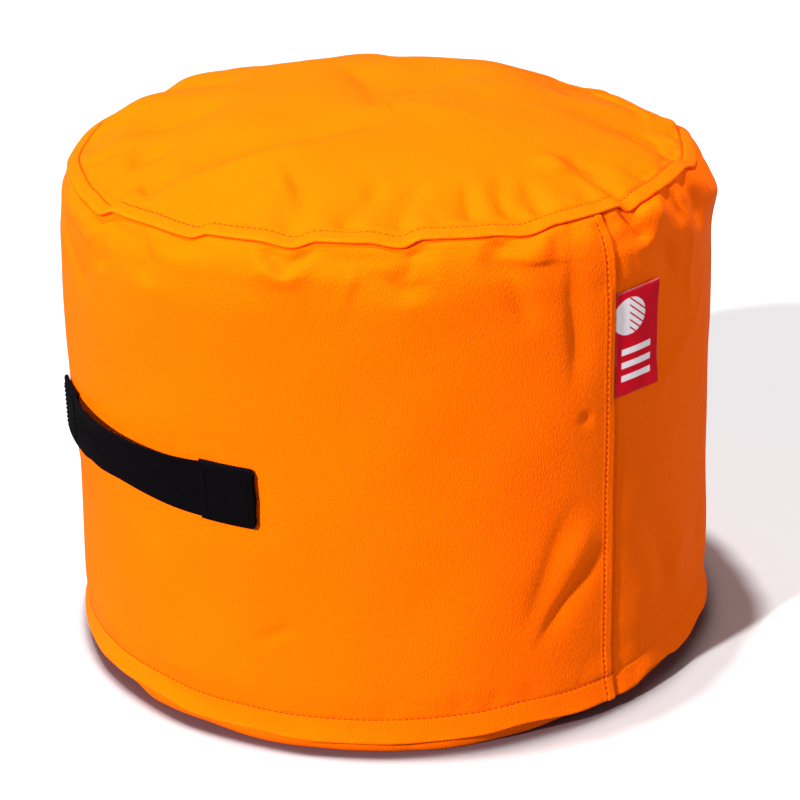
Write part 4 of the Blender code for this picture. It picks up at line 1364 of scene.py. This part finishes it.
@dataclass
class Cover:
    """The sewn cover: the domed top, the two wall panels and their rows of stitches."""

    form: CoverForm
    finishes: Finishes
    stitch_pitch: float = 0.0042

    def build(self) -> list[bpy.types.Object]:
        """Builds and dresses the panels and the stitches."""
        made = [self.build_top(), self.build_wall(False), self.build_wall(True)]
        return made + self.build_stitches()

    def build_top(self) -> bpy.types.Object:
        """The top panel: a fine ring by the seam round a disc without a pole."""
        form = self.form
        first, _ = form.top.ends()
        ring = spread((first, -0.0008, 5), (-0.0008, 0.004, 10), (0.004, 0.014, 18), (0.014, 0.030, 12))
        azimuth = np.arange(AROUND) * 360.0 / AROUND
        rim = form.top_at(azimuth[None, :], ring[:, None])
        side = AROUND // 4
        u, v = np.meshgrid(np.linspace(-1, 1, side + 1), np.linspace(-1, 1, side + 1), indexing="ij")
        wide = np.abs(u) >= np.abs(v)
        reach = np.where(wide, np.abs(u), np.abs(v))
        slope = np.where(wide, v / np.where(u == 0, 1, u), u / np.where(v == 0, 1, v)) * 45.0
        angle = np.where(wide, np.where(u > 0, 90 + slope, -90 + slope), np.where(v > 0, 180 - slope, -slope))
        angle = np.where(reach == 0, 0.0, angle)
        table, fine = form.top.table()
        edge_radius = float(np.interp(ring[-1], table, fine[:, 0]))
        order = np.argsort(fine[table > 0, 0])
        run = np.interp(reach * edge_radius, fine[table > 0, 0][order], table[table > 0][order])
        disc = form.top_at(angle, run).reshape(-1, 3)
        points = np.concatenate([rim.reshape(-1, 3), disc])
        start = len(ring) * AROUND
        faces = np.concatenate([
            grid_faces(len(ring), AROUND, closed=True)[:, ::-1],
            grid_faces(side + 1, side + 1, first=start),
        ])
        piece = fill_mesh("top_cover", points, faces)
        worn = np.concatenate([np.repeat(bell(ring, 0.0018), AROUND), np.zeros(len(disc))])
        write_attribute(piece, WEAR, worn)
        shape = bmesh.new()
        shape.from_mesh(piece.data)
        bmesh.ops.remove_doubles(shape, verts=shape.verts, dist=0.00002)
        bmesh.ops.recalc_face_normals(shape, faces=shape.faces)
        if sum(face.normal.z * face.calc_area() for face in shape.faces) < 0:
            bmesh.ops.reverse_faces(shape, faces=shape.faces)
        shape.to_mesh(piece.data)
        shape.free()
        dress(piece, self.finishes.top_leather, Body.COVER, Slot.LEATHER, "top_panel")
        return piece

    def build_wall(self, rear: bool) -> bpy.types.Object:
        """One wall panel, from its turned-in allowance down to the folded hem and up inside."""
        form = self.form
        first, last = form.wall.ends()
        stitch, edge = form.hem_stitch, form.hem_edge
        run = spread(
            (first, 0.0, 4), (0.0, 0.030, 24), (0.030, stitch - 0.012, 136),
            (stitch - 0.012, stitch + 0.006, 18),
            (stitch + 0.006, edge - 0.002, 8), (edge - 0.002, edge + 0.005, 12), (edge + 0.005, last, 4),
        )  # fmt: skip
        band = math.degrees(0.012 / form.radius)
        tuck = math.degrees(0.0015 / form.radius)
        if rear:
            near = spread(
                (90 - tuck, 90 + band, 18), (90 + band, 270 - band, 330), (270 - band, 270 + tuck, 18)
            )
        else:
            near = spread((-90.0, -90 + band, 24), (-90 + band, 90 - band, 330), (90 - band, 90.0, 24))
        points = form.wall_at(near[None, :], run[:, None], rear)
        faces = grid_faces(len(run), len(near))
        name = "wall_rear" if rear else "wall_front"
        piece = fill_mesh(name, points.reshape(-1, 3), faces)
        hem = bell(run - edge, 0.0022)[:, None]
        to_seam = np.radians(90 - np.abs(turn_gap(near, 0.0))) * form.radius
        seam = np.zeros(len(near)) if rear else bell(to_seam, 0.0022)
        write_attribute(piece, WEAR, np.maximum(hem, seam[None, :]).ravel())
        node = "side_panel_rear" if rear else "side_panel_front"
        dress(piece, self.finishes.leather, Body.COVER, Slot.LEATHER, node)
        return piece

    def build_stitches(self) -> list[bpy.types.Object]:
        """The rows of stitches round the top, round the hem and down both side seams."""
        form = self.form
        around = np.linspace(0, 360, 2881)
        rows = {
            "top_topstitch": form.top_at(around, np.full(around.shape, form.top_stitch)),
            "hem_topstitch": form.wall_at(around, np.full(around.shape, form.hem_stitch)),
        }
        down = np.linspace(0.006, form.hem_edge - 0.003, 900)
        for name, side in (("side_topstitch_right", 1), ("side_topstitch_left", -1)):
            azimuth = side * (90 - math.degrees(form.band_width / form.radius))
            rows[name] = form.wall_at(np.full(down.shape, azimuth), down)
        made = []
        for name, line in rows.items():
            outward = line * np.array([1.0, 1.0, 0.0])
            if name == "top_topstitch":
                outward = np.tile([0.0, 0.0, 1.0], (len(line), 1)) + 0.35 * outward / 0.22
            piece = stitch_row(f"{name}_thread", line, outward, self.stitch_pitch)
            dress(piece, self.finishes.thread, Body.COVER, Slot.COVER_THREAD, name)
            made.append(piece)
        return made


def stitch_row(
    name: str, line: Array, outward: Array, pitch: float, radius: float = 0.00037
) -> bpy.types.Object:
    """A row of separate stitches that dip into the cloth at both ends.

    Args:
        name: The object's name.
        line: Dense points of the row, on the cloth.
        outward: Which way is out of the cloth, at each point.
        pitch: Length of a stitch with its gap.
        radius: The thread's radius.

    Returns:
        The new object.
    """
    run = np.concatenate([[0.0], np.cumsum(np.linalg.norm(np.diff(line, axis=0), axis=1))])
    count = max(2, int(run[-1] / pitch))
    centre = (np.arange(count) + 0.5) * run[-1] / count
    places = np.array([-0.5, -0.42, -0.24, 0.0, 0.24, 0.42, 0.5]) * 0.80 * pitch
    lift = np.array([-1.6, -0.1, 0.55, 0.70, 0.55, -0.1, -1.6]) * radius
    girth = np.array([0.55, 0.85, 1.0, 1.0, 1.0, 0.85, 0.55]) * radius
    spots = centre[:, None] + places[None, :]

    def read(values: Array) -> Array:
        """Values along the row, at every ring of every stitch."""
        return np.stack([np.interp(spots, run, values[:, i]) for i in range(3)], -1)

    along = np.gradient(line, run, axis=0)
    along /= np.linalg.norm(along, axis=1)[:, None]
    out = outward - (outward * along).sum(1)[:, None] * along
    out /= np.linalg.norm(out, axis=1)[:, None]
    side = np.cross(along, out)
    middle = read(line) + read(out) * lift[None, :, None]
    sides = 8
    turn = np.arange(sides) * 2 * math.pi / sides
    ring = read(out)[:, :, None] * np.cos(turn)[None, None, :, None]
    ring = ring + read(side)[:, :, None] * np.sin(turn)[None, None, :, None]
    points = middle[:, :, None] + ring * girth[None, :, None, None]
    rings = len(places)
    one = grid_faces(rings, sides, closed=True)
    faces = (one[None] + (np.arange(count) * rings * sides)[:, None, None]).reshape(-1, 4)
    caps = []
    for first in (0, (rings - 1) * sides):
        ends = np.arange(count) * rings * sides + first
        for i in range(1, sides - 2, 2):
            caps.append(np.stack([ends, ends + i, ends + i + 1, ends + i + 2], -1))
    piece = fill_mesh(name, points.reshape(-1, 3), np.concatenate([faces, *caps]))
    flat = np.zeros((*spots.shape, sides, 3))
    flat[..., 0] = spots[:, :, None]
    flat[..., 1] = turn * radius
    write_attribute(piece, CLOTH, flat.reshape(-1, 3))
    face_outward(piece)
    return piece


# ---------------------------------------------------------------- handle, label, base, zip


@dataclass
class Handle:
    """The webbing carry handle: two ends folded double and sewn down, and the free grip."""

    form: CoverForm
    finishes: Finishes
    centre: float = 1.7
    span: float = 54.7
    sewn: float = 9.5
    width: float = 0.040
    height: float = 0.192
    webbing: float = 0.0017
    box_inset: float = 0.004
    corner: float = 0.0028
    # (azimuth, height) of the grip's upper and lower edges
    upper: tuple[tuple[float, float], ...] = (
        (-17.2, 0.2160), (-12.0, 0.2166), (-7.0, 0.2164), (-1.0, 0.2156), (6.0, 0.2146), (14.0, 0.2128),
        (20.6, 0.2116),
    )  # fmt: skip
    lower: tuple[tuple[float, float], ...] = (
        (-17.2, 0.1762), (-12.0, 0.1772), (-8.0, 0.1800), (-4.5, 0.1800), (1.6, 0.1806), (8.0, 0.1778),
        (14.0, 0.1745), (20.6, 0.1718),
    )  # fmt: skip

    def edges(self) -> tuple[float, float, float, float]:
        """Azimuths of the handle's end, grip start, grip end and end."""
        left, right = self.centre - self.span / 2, self.centre + self.span / 2
        return left, left + self.sewn, right - self.sewn, right

    def face(self, azimuth: Array, height: Array, off: Array) -> Array:
        """Points a distance off the smooth wall at azimuths and heights."""
        radius = self.form.radius_at(height)
        return on_wall(radius + 0.0009 + off, azimuth, height)

    def build(self) -> list[bpy.types.Object]:
        """Builds and dresses the handle."""
        return [*self.build_ends(), *self.build_grip(), *self.build_box_stitches()]

    def build_ends(self) -> list[bpy.types.Object]:
        """The two sewn ends, each a folded double layer with softly rounded corners."""
        made = []
        left, grip_left, grip_right, right = self.edges()
        ends = (("left", left, grip_left, 0.1962, 0.1960), ("right", right, grip_right, 0.1908, 0.1918))
        for name, tip, inner, tip_height, inner_height in ends:
            across = np.linspace(0, 1, 29)
            share = spread((0.0, 0.12, 7), (0.12, 1.0, 30))
            azimuth = tip + (inner - tip) * share
            length = math.radians(abs(inner - tip)) * self.form.radius
            away = share * length
            inside_corner = np.clip(self.corner - away, 0, None)
            cut = self.corner - np.sqrt(np.clip(self.corner**2 - inside_corner**2, 0, None))
            fray = 0.00025 * np.sin(away / 0.0013 * math.pi)
            half = self.width / 2 + 0.0004 - cut + fray
            middle = tip_height + (inner_height - tip_height) * share
            height = middle[None, :] + (across[:, None] - 0.5) * 2 * half[None, :]
            puff = 0.0004 * (1 - (2 * across[:, None] - 1) ** 6) * (1 - (2 * share[None, :] - 1) ** 8)
            off = 0.0019 + puff
            grid = self.face(azimuth[None, :] + 0 * height, height, off)
            cloth = np.stack(np.broadcast_arrays(away[None, :], height, 0 * height), -1)
            piece = solid_sheet(f"handle_end_{name}_webbing", grid, 2 * self.webbing, cloth)
            dress(piece, self.finishes.webbing, Body.COVER, Slot.WEBBING, f"handle_end_{name}")
            made.append(piece)
        return made

    def grip_surface(self, u: Array, w: Array) -> tuple[Array, Array]:
        """The grip's middle surface: it stands off the wall, creased along its length.

        Args:
            u: 0 at the left sewn end to 1 at the right one.
            w: 0 at the lower edge to 1 at the upper edge.

        Returns:
            The points and the azimuths.
        """
        _, grip_left, grip_right, _ = self.edges()
        first, last = grip_left - 0.5, grip_right + 0.5
        azimuth = first + (last - first) * u
        top = spline(np.array(self.upper), 200)
        low = spline(np.array(self.lower), 200)
        upper = np.interp(azimuth, top[:, 0], top[:, 1])
        lower = np.interp(azimuth, low[:, 0], low[:, 1])
        arch = np.clip(4 * u * (1 - u), 0, 1) ** 0.8
        stand_top = 0.0020 + 0.0088 * arch
        stand_low = 0.0020 + 0.0042 * arch
        crease_at = 0.50 + 0.22 * u
        crease = 0.0058 * bell(u - 0.30, 0.26) * smooth_step(u, 0.0, 0.12)
        near = (w - crease_at) / 0.20
        off = stand_low + (stand_top - stand_low) * w - crease * hump(near)
        off = off + 0.0022 * bell(u - 0.36, 0.2) * hump((w - 0.18) / 0.16)
        off = np.maximum(off, 0.0012)
        height = lower + (upper - lower) * w
        height = height - 0.0012 * bell(u - 0.30, 0.22) * hump((w - crease_at) / 0.2)
        return self.face(azimuth, height, off), azimuth

    def build_grip(self) -> list[bpy.types.Object]:
        """The free grip, in two halves that meet in the middle and bend when it is lifted."""
        made = []
        w = np.linspace(0, 1, 49)
        _, grip_left, grip_right, _ = self.edges()
        for name, start in (("left", 0.0), ("right", 1.0)):
            u = np.linspace(start, 0.5, 91)
            u, across = np.meshgrid(u, w)
            grid, azimuth = self.grip_surface(u, across)
            cloth = np.stack([np.radians(azimuth) * self.form.radius, across * self.width, 0 * u], -1)
            piece = solid_sheet(f"handle_grip_{name}", grid, self.webbing, cloth)
            sewn_end, inward = (grip_left, -0.35) if start == 0 else (grip_right, 0.35)
            anchor = self.face(np.array(sewn_end), np.array(self.height), np.array(0.002))
            middle = self.face(np.array(self.centre + inward), np.array(self.height), np.array(0.009))
            piece.data.materials.append(self.finishes.webbing)
            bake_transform(piece, Body.COVER.value, Body.HANDLE.value, start=tuple(anchor), end=tuple(middle))
            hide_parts("handle_grip")
            made.append(piece)
        return made

    def build_box_stitches(self) -> list[bpy.types.Object]:
        """A square of stitches on each sewn end."""
        made = []
        left, grip_left, grip_right, right = self.edges()
        inset = math.degrees(self.box_inset / self.form.radius)
        half = self.width / 2 - self.box_inset
        ends = (("left", left, grip_left, 0.1961), ("right", grip_right, right, 0.1914))
        for name, first, last, middle in ends:
            a, b = first + inset, last - inset
            low, high = middle - half, middle + half
            corners = [(a, low), (b, low), (b, high), (a, high), (a, low)]
            line = []
            for (from_a, from_z), (to_a, to_z) in zip(corners, corners[1:]):
                share = np.linspace(0, 1, 60)[:-1]
                azimuth, height = from_a + (to_a - from_a) * share, from_z + (to_z - from_z) * share
                line.append(np.stack([azimuth, height], -1))
            line = np.concatenate(line)
            points = self.face(line[:, 0], line[:, 1], np.full(len(line), 0.0040))
            outward = points * np.array([1.0, 1.0, 0.0])
            piece = stitch_row(f"handle_box_stitch_{name}", points, outward, 0.0033, 0.00036)
            dress(piece, self.finishes.black_thread, Body.COVER, Slot.HANDLE_THREAD, f"handle_stitch_{name}")
            made.append(piece)
        return made


@dataclass
class FlagLabel:
    """The flag label that hangs from the right side seam."""

    form: CoverForm
    finishes: Finishes
    width: float = 0.041
    thickness: float = 0.0009

    def build(self) -> bpy.types.Object:
        """Builds and dresses the label."""
        low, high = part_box("label_tag")
        bottom, top = low.z, high.z
        u = np.linspace(0, 1, 45)
        v = np.linspace(0, 1, 71)
        u, v = np.meshgrid(u, v)
        start = 90.0 + math.degrees(0.0004 / self.form.radius)
        azimuth = start + math.degrees(self.width / self.form.radius) * u
        slope = 0.0016 * (u - 0.5) * (0.4 + 0.6 * v)
        height = bottom + (top - bottom) * v + slope
        radius = self.form.radius_at(height)
        off = 0.0011 + 0.0016 * u**2 + 0.0010 * np.sin(math.pi * u) * np.sin(2.2 * v + 0.4)
        off += 0.0012 * smooth_step(u, 0.6, 1.0) * smooth_step(np.abs(v - 0.5), 0.2, 0.5)
        grid = on_wall(radius + off, azimuth, height)
        cloth = np.stack([u * self.width, v * (top - bottom), 0 * u], -1)
        piece = solid_sheet("flag_label", grid, self.thickness, cloth)
        dress(piece, self.finishes.label, Body.LABEL, Slot.LABEL, "label_tag")
        return piece


@dataclass
class Base:
    """The gathered base in two pieces, either side of the zip."""

    form: CoverForm
    finishes: Finishes
    zip_y: float = 0.075
    slot_half: float = 0.010
    outline: Outline = Outline(
        (
            (0.2404, 0.0290), (0.2404, 0.0240), (0.2403, 0.0190), (0.2400, 0.0140), (0.2392, 0.0090),
            (0.2376, 0.0048), (0.2348, 0.0019), (0.2310, 0.0006), (0.2260, 0.0003), (0.2180, 0.0002),
            (0.2000, 0.0002),
        ),
        zero=0,
    )  # fmt: skip
    gathers: Puckers = Puckers(31, 118, 0.0030, 0.0034, 0.022, 30.0)
    bulge: Wave = Wave(
        (
            (-25, 0.0), (-14, 0.0032), (-4, 0.0006), (4, 0.0034), (16, 0.0016), (28, 0.0040), (44, 0.0036),
            (58, 0.0044), (70, 0.0020), (84, -0.0010), (96, 0.0016), (108, -0.0006), (125, 0.0020),
            (150, 0.0004),
            (175, 0.0026), (205, 0.0), (235, 0.0028), (265, 0.0004), (295, 0.0024), (320, 0.0),
        )
    )  # fmt: skip

    def build(self) -> list[bpy.types.Object]:
        """Builds and dresses both pieces."""
        return [self.build_piece("front", -1), self.build_piece("rear", 1)]

    def build_piece(self, name: str, side: int) -> bpy.types.Object:
        """One piece: a disc with a gathered rim, cut off at the zip."""
        _, last = self.outline.ends()
        run = spread((0.0, 0.034, 30), (0.034, last, 8))
        azimuth = np.arange(AROUND) * 360.0 / AROUND
        r, z, out, up = self.outline.at(run[:, None] + 0 * azimuth[None, :])
        outer = 1 - smooth_step(run[:, None], 0.030, 0.044)
        relief = self.gathers.at(azimuth[None, :], run[:, None], 0.24) * outer
        relief = relief + self.bulge.at(azimuth)[None, :] * (smooth_step(run[:, None], 0.0, 0.010) * outer)
        r, z = r + out * relief, np.maximum(z + up * relief, 0.0002)
        rim = on_wall(r, azimuth[None, :], z)
        inner = (0.17, 0.13, 0.09, 0.05, 0.02)
        rings = [on_wall(np.full(AROUND, radius), azimuth, 0.0002) for radius in inner]
        points = np.concatenate([rim.reshape(-1, 3), *rings])
        rows = len(run) + len(rings)
        piece = fill_mesh(f"base_{name}", points, grid_faces(rows, AROUND, closed=True))
        shape = bmesh.new()
        shape.from_mesh(piece.data)
        edges = [edge for edge in shape.edges if edge.is_boundary and edge.verts[0].co.xy.length < 0.03]
        bmesh.ops.edgeloop_fill(shape, edges=edges)
        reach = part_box("zip_tape_front")[1].x
        planes = (
            ((0, self.zip_y + side * 0.00015, 0), (0, -side, 0), True),
            ((0, self.zip_y + side * self.slot_half, 0), (0, 1, 0), False),
            ((reach, 0, 0), (1, 0, 0), False),
            ((-reach, 0, 0), (1, 0, 0), False),
        )
        for point, normal, cut in planes:
            geometry = [*shape.verts, *shape.edges, *shape.faces]
            bmesh.ops.bisect_plane(shape, geom=geometry, plane_co=point, plane_no=normal, clear_outer=cut)
        inside = []
        for face in shape.faces:
            centre = face.calc_center_median()
            if abs(centre.x) < reach and abs(centre.y - self.zip_y) < self.slot_half:
                inside.append(face)
        bmesh.ops.delete(shape, geom=inside, context="FACES")
        bmesh.ops.recalc_face_normals(shape, faces=shape.faces)
        if sum(face.normal.z * face.calc_area() for face in shape.faces) > 0:
            bmesh.ops.reverse_faces(shape, faces=shape.faces)
        shape.to_mesh(piece.data)
        shape.free()
        piece.data.polygons.foreach_set("use_smooth", np.ones(len(piece.data.polygons), bool))
        write_attribute(piece, WEAR, np.zeros(len(piece.data.vertices)))
        dress(piece, self.finishes.leather, Body.COVER, Slot.LEATHER, f"base_panel_{name}")
        return piece


@dataclass
class BaseZip:
    """The zip in the base: tapes, two rows of moulded teeth, stops, slider and pull tab."""

    finishes: Finishes
    pitch: float = 0.0016

    def build(self) -> list[bpy.types.Object]:
        """Builds the teeth and repaints the rest."""
        for node in ("zip_tape_front", "zip_tape_rear"):
            repaint(node, self.finishes.tape)
        for node in ("zip_stop_left", "zip_stop_right", "zip_slider", "zip_pull"):
            repaint(node, self.finishes.metal)
        return [self.build_teeth("front", -1), self.build_teeth("rear", 1)]

    def build_teeth(self, name: str, side: int) -> bpy.types.Object:
        """One row of teeth, each with a waist and a round head."""
        low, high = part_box(f"zip_teeth_{name}")
        inner, outer = (high.y, low.y) if side < 0 else (low.y, high.y)
        depth = outer - inner
        outline = np.array(
            [(0.0, 0.40), (0.12, 0.47), (0.30, 0.40), (0.45, 0.22), (0.62, 0.26), (0.80, 0.42), (1.0, 0.42)]
        )
        outline = np.concatenate([outline, outline[::-1] * [1, -1]])
        count = int((high.x - low.x) / self.pitch)
        middle = low.x + (np.arange(count) + 0.5) * (high.x - low.x) / count
        levels = np.array([[0.0, 0.86], [0.12, 1.0], [0.88, 1.0], [1.0, 0.86]])
        sides = len(outline)
        tooth = np.zeros((len(levels), sides, 3))
        tooth[..., 0] = outline[None, :, 1] * levels[:, 1:] * self.pitch
        tooth[..., 1] = inner + depth * (0.5 + (outline[None, :, 0] - 0.5) * levels[:, 1:])
        tooth[..., 2] = low.z + (high.z - low.z) * levels[:, :1]
        points = tooth[None] + np.stack([middle, 0 * middle, 0 * middle], -1)[:, None, None]
        one = grid_faces(len(levels), sides, closed=True)
        half = sides // 2
        caps = []
        for first in (0, (len(levels) - 1) * sides):
            for i in range(half - 1):
                caps.append([first + i, first + i + 1, first + sides - 2 - i, first + sides - 1 - i])
        one = np.concatenate([one, np.array(caps)])
        faces = (one[None] + (np.arange(count) * len(levels) * sides)[:, None, None]).reshape(-1, 4)
        piece = fill_mesh(f"zip_moulded_teeth_{name}", points.reshape(-1, 3), faces, smooth=False)
        face_outward(piece)
        dress(piece, self.finishes.nylon, Body.COVER, Slot.ZIP_NYLON, f"zip_teeth_{name}")
        return piece


@dataclass
class InnerBag:
    """The sealed liner, its filling and the patches behind the handle, kept as the CAD has them."""

    finishes: Finishes
    # (node, flat width, flat length, flat area, how it is held, what it rests on), as the CAD solids measure
    flats: tuple[tuple[str, float, float, float, str, str], ...] = (
        ("liner_wall", 1.477, 0.351, 0.518, "stretched", "bead_filling"),
        ("liner_top", 0.458, 0.458, 0.1647, "stretched", "bead_filling"),
        ("liner_base", 0.448, 0.448, 0.1576, "laid", "base_front"),
        ("liner_zip", 0.200, 0.024, 0.0048, "laid", "liner_base"),
        ("handle_backing_left", 0.054, 0.052, 0.0028, "laid", "wall_front"),
        ("handle_backing_right", 0.054, 0.052, 0.0028, "laid", "wall_front"),
        ("zip_tape_front", 0.3675, 0.0204, 0.0075, "laid", "base_front"),
        ("zip_tape_rear", 0.3675, 0.0204, 0.0075, "laid", "base_rear"),
    )

    def dress(self) -> None:
        """Gives the hidden pieces their finishes."""
        for node in ("liner_top", "liner_wall", "liner_base", "liner_zip"):
            repaint(node, self.finishes.lining)
        for node in ("handle_backing_left", "handle_backing_right"):
            repaint(node, self.finishes.backing)
        repaint("bead_filling", self.finishes.beads)


# ---------------------------------------------------------------- studio


@dataclass(frozen=True)
class Studio:
    """The camera, the lights and the pale floor."""

    azimuth: float = 51.3
    elevation: float = 22.6236
    distance: float = 1.58462
    target_height: float = 0.165
    roll: float = -1.8957
    pan: float = 0.28084
    lens: float = 92.4646

    def build(self) -> None:
        """Makes everything that isn't part of the pouf."""
        self.build_camera()
        self.build_floor()
        self.build_world()
        self.add_sun("overhead", (-0.12, -0.07, 1.0), 1.24, 4.0)
        self.add_sun("window", (0.07, -0.94, 0.56), 2.25, 3.5)
        self.add_sun("side_fill", (0.72, 0.66, 0.28), 0.56, 60.0)
        bpy.context.scene.view_settings.view_transform = "Standard"

    def build_camera(self) -> None:
        """Puts the camera at the viewing angle."""
        turn, rise, roll, pan = (math.radians(a) for a in (self.azimuth, self.elevation, self.roll, self.pan))
        back = Vector((math.sin(turn) * math.cos(rise), -math.cos(turn) * math.cos(rise), math.sin(rise)))
        flat_right = Vector((math.cos(turn), math.sin(turn), 0.0))
        flat_up = flat_right.cross(-back)
        forward = -back * math.cos(pan) + flat_right * math.sin(pan)
        level_right = flat_right * math.cos(pan) + back * math.sin(pan)
        right = level_right * math.cos(roll) + flat_up * math.sin(roll)
        up = flat_up * math.cos(roll) - level_right * math.sin(roll)
        camera = bpy.data.objects.new("camera", bpy.data.cameras.new("camera"))
        bpy.context.scene.collection.objects.link(camera)
        camera.data.sensor_width = 36.0
        camera.data.lens = self.lens
        camera.data.dof.use_dof = False
        camera.data.clip_start = 0.05
        place = Vector((0.0, 0.0, self.target_height)) + back * self.distance
        columns = Matrix((right, up, -forward)).transposed()
        camera.matrix_world = Matrix.Translation(place) @ columns.to_4x4()
        bpy.context.scene.camera = camera

    def build_floor(self) -> None:
        """A pale floor with a painted contact shadow, darker to other rays than to the camera."""
        size = 12.0
        corners = np.array([(-size, -size, 0), (size, -size, 0), (size, size, 0), (-size, size, 0)], float)
        floor = fill_mesh("floor", corners, np.array([[0, 1, 2, 3]]))
        material, graph, shader = new_material("studio_floor")
        seen = graph.node("LightPath").outputs["Is Camera Ray"]
        # Painted contact shadow: as the camera sees it, the floor turns a dark reddish brown where the pouf
        # stands within a few centimetres of it.
        near = graph.node("AmbientOcclusion", {"Distance": 0.030}, samples=8).outputs["AO"]
        pale = graph.blend(graph.ramp(near, 0.45, 0.85), (0.10, 0.05, 0.055), (0.54, 0.53, 0.54))
        graph.put(shader.inputs["Base Color"], graph.blend(seen, (0.16, 0.15, 0.15), pale))
        shader.inputs["Roughness"].default_value = 0.9
        shader.inputs["Specular IOR Level"].default_value = 0.1
        floor.data.materials.append(material)

    def build_world(self) -> None:
        """Even white surroundings, dimmer as a light than as a backdrop."""
        world = bpy.data.worlds.new("studio")
        bpy.context.scene.world = world
        world.use_nodes = True
        graph = Graph(world.node_tree)
        background = world.node_tree.nodes["Background"]
        seen = graph.node("LightPath").outputs["Is Camera Ray"]
        graph.put(background.inputs["Color"], (1.0, 1.0, 1.0))
        graph.put(background.inputs["Strength"], graph.times_plus(seen, 0.85, 0.15))

    @staticmethod
    def add_sun(name: str, towards: tuple[float, float, float], strength: float, width: float) -> None:
        """Adds a broad distant light.

        Args:
            name: Its name.
            towards: Direction from the pouf to the light.
            strength: Its strength.
            width: Its apparent width, in degrees.
        """
        lamp = bpy.data.lights.new(name, "SUN")
        lamp.energy = strength * math.pi
        lamp.angle = math.radians(width)
        made = bpy.data.objects.new(name, lamp)
        made.rotation_mode = "QUATERNION"
        made.rotation_quaternion = Vector(towards).to_track_quat("Z", "Y")
        bpy.context.scene.collection.objects.link(made)


def main() -> None:
    """Builds the studio and every piece of the pouf in order."""
    logging.basicConfig(level=logging.INFO, format="%(name)s: %(message)s")
    Studio().build()
    finishes = Finishes()
    form = CoverForm()
    form.settle()
    made = Cover(form, finishes).build()
    made += Handle(form, finishes).build()
    made.append(FlagLabel(form, finishes).build())
    made += Base(form, finishes).build()
    made += BaseZip(finishes).build()
    InnerBag(finishes).dress()


if __name__ == "__main__":
    main()
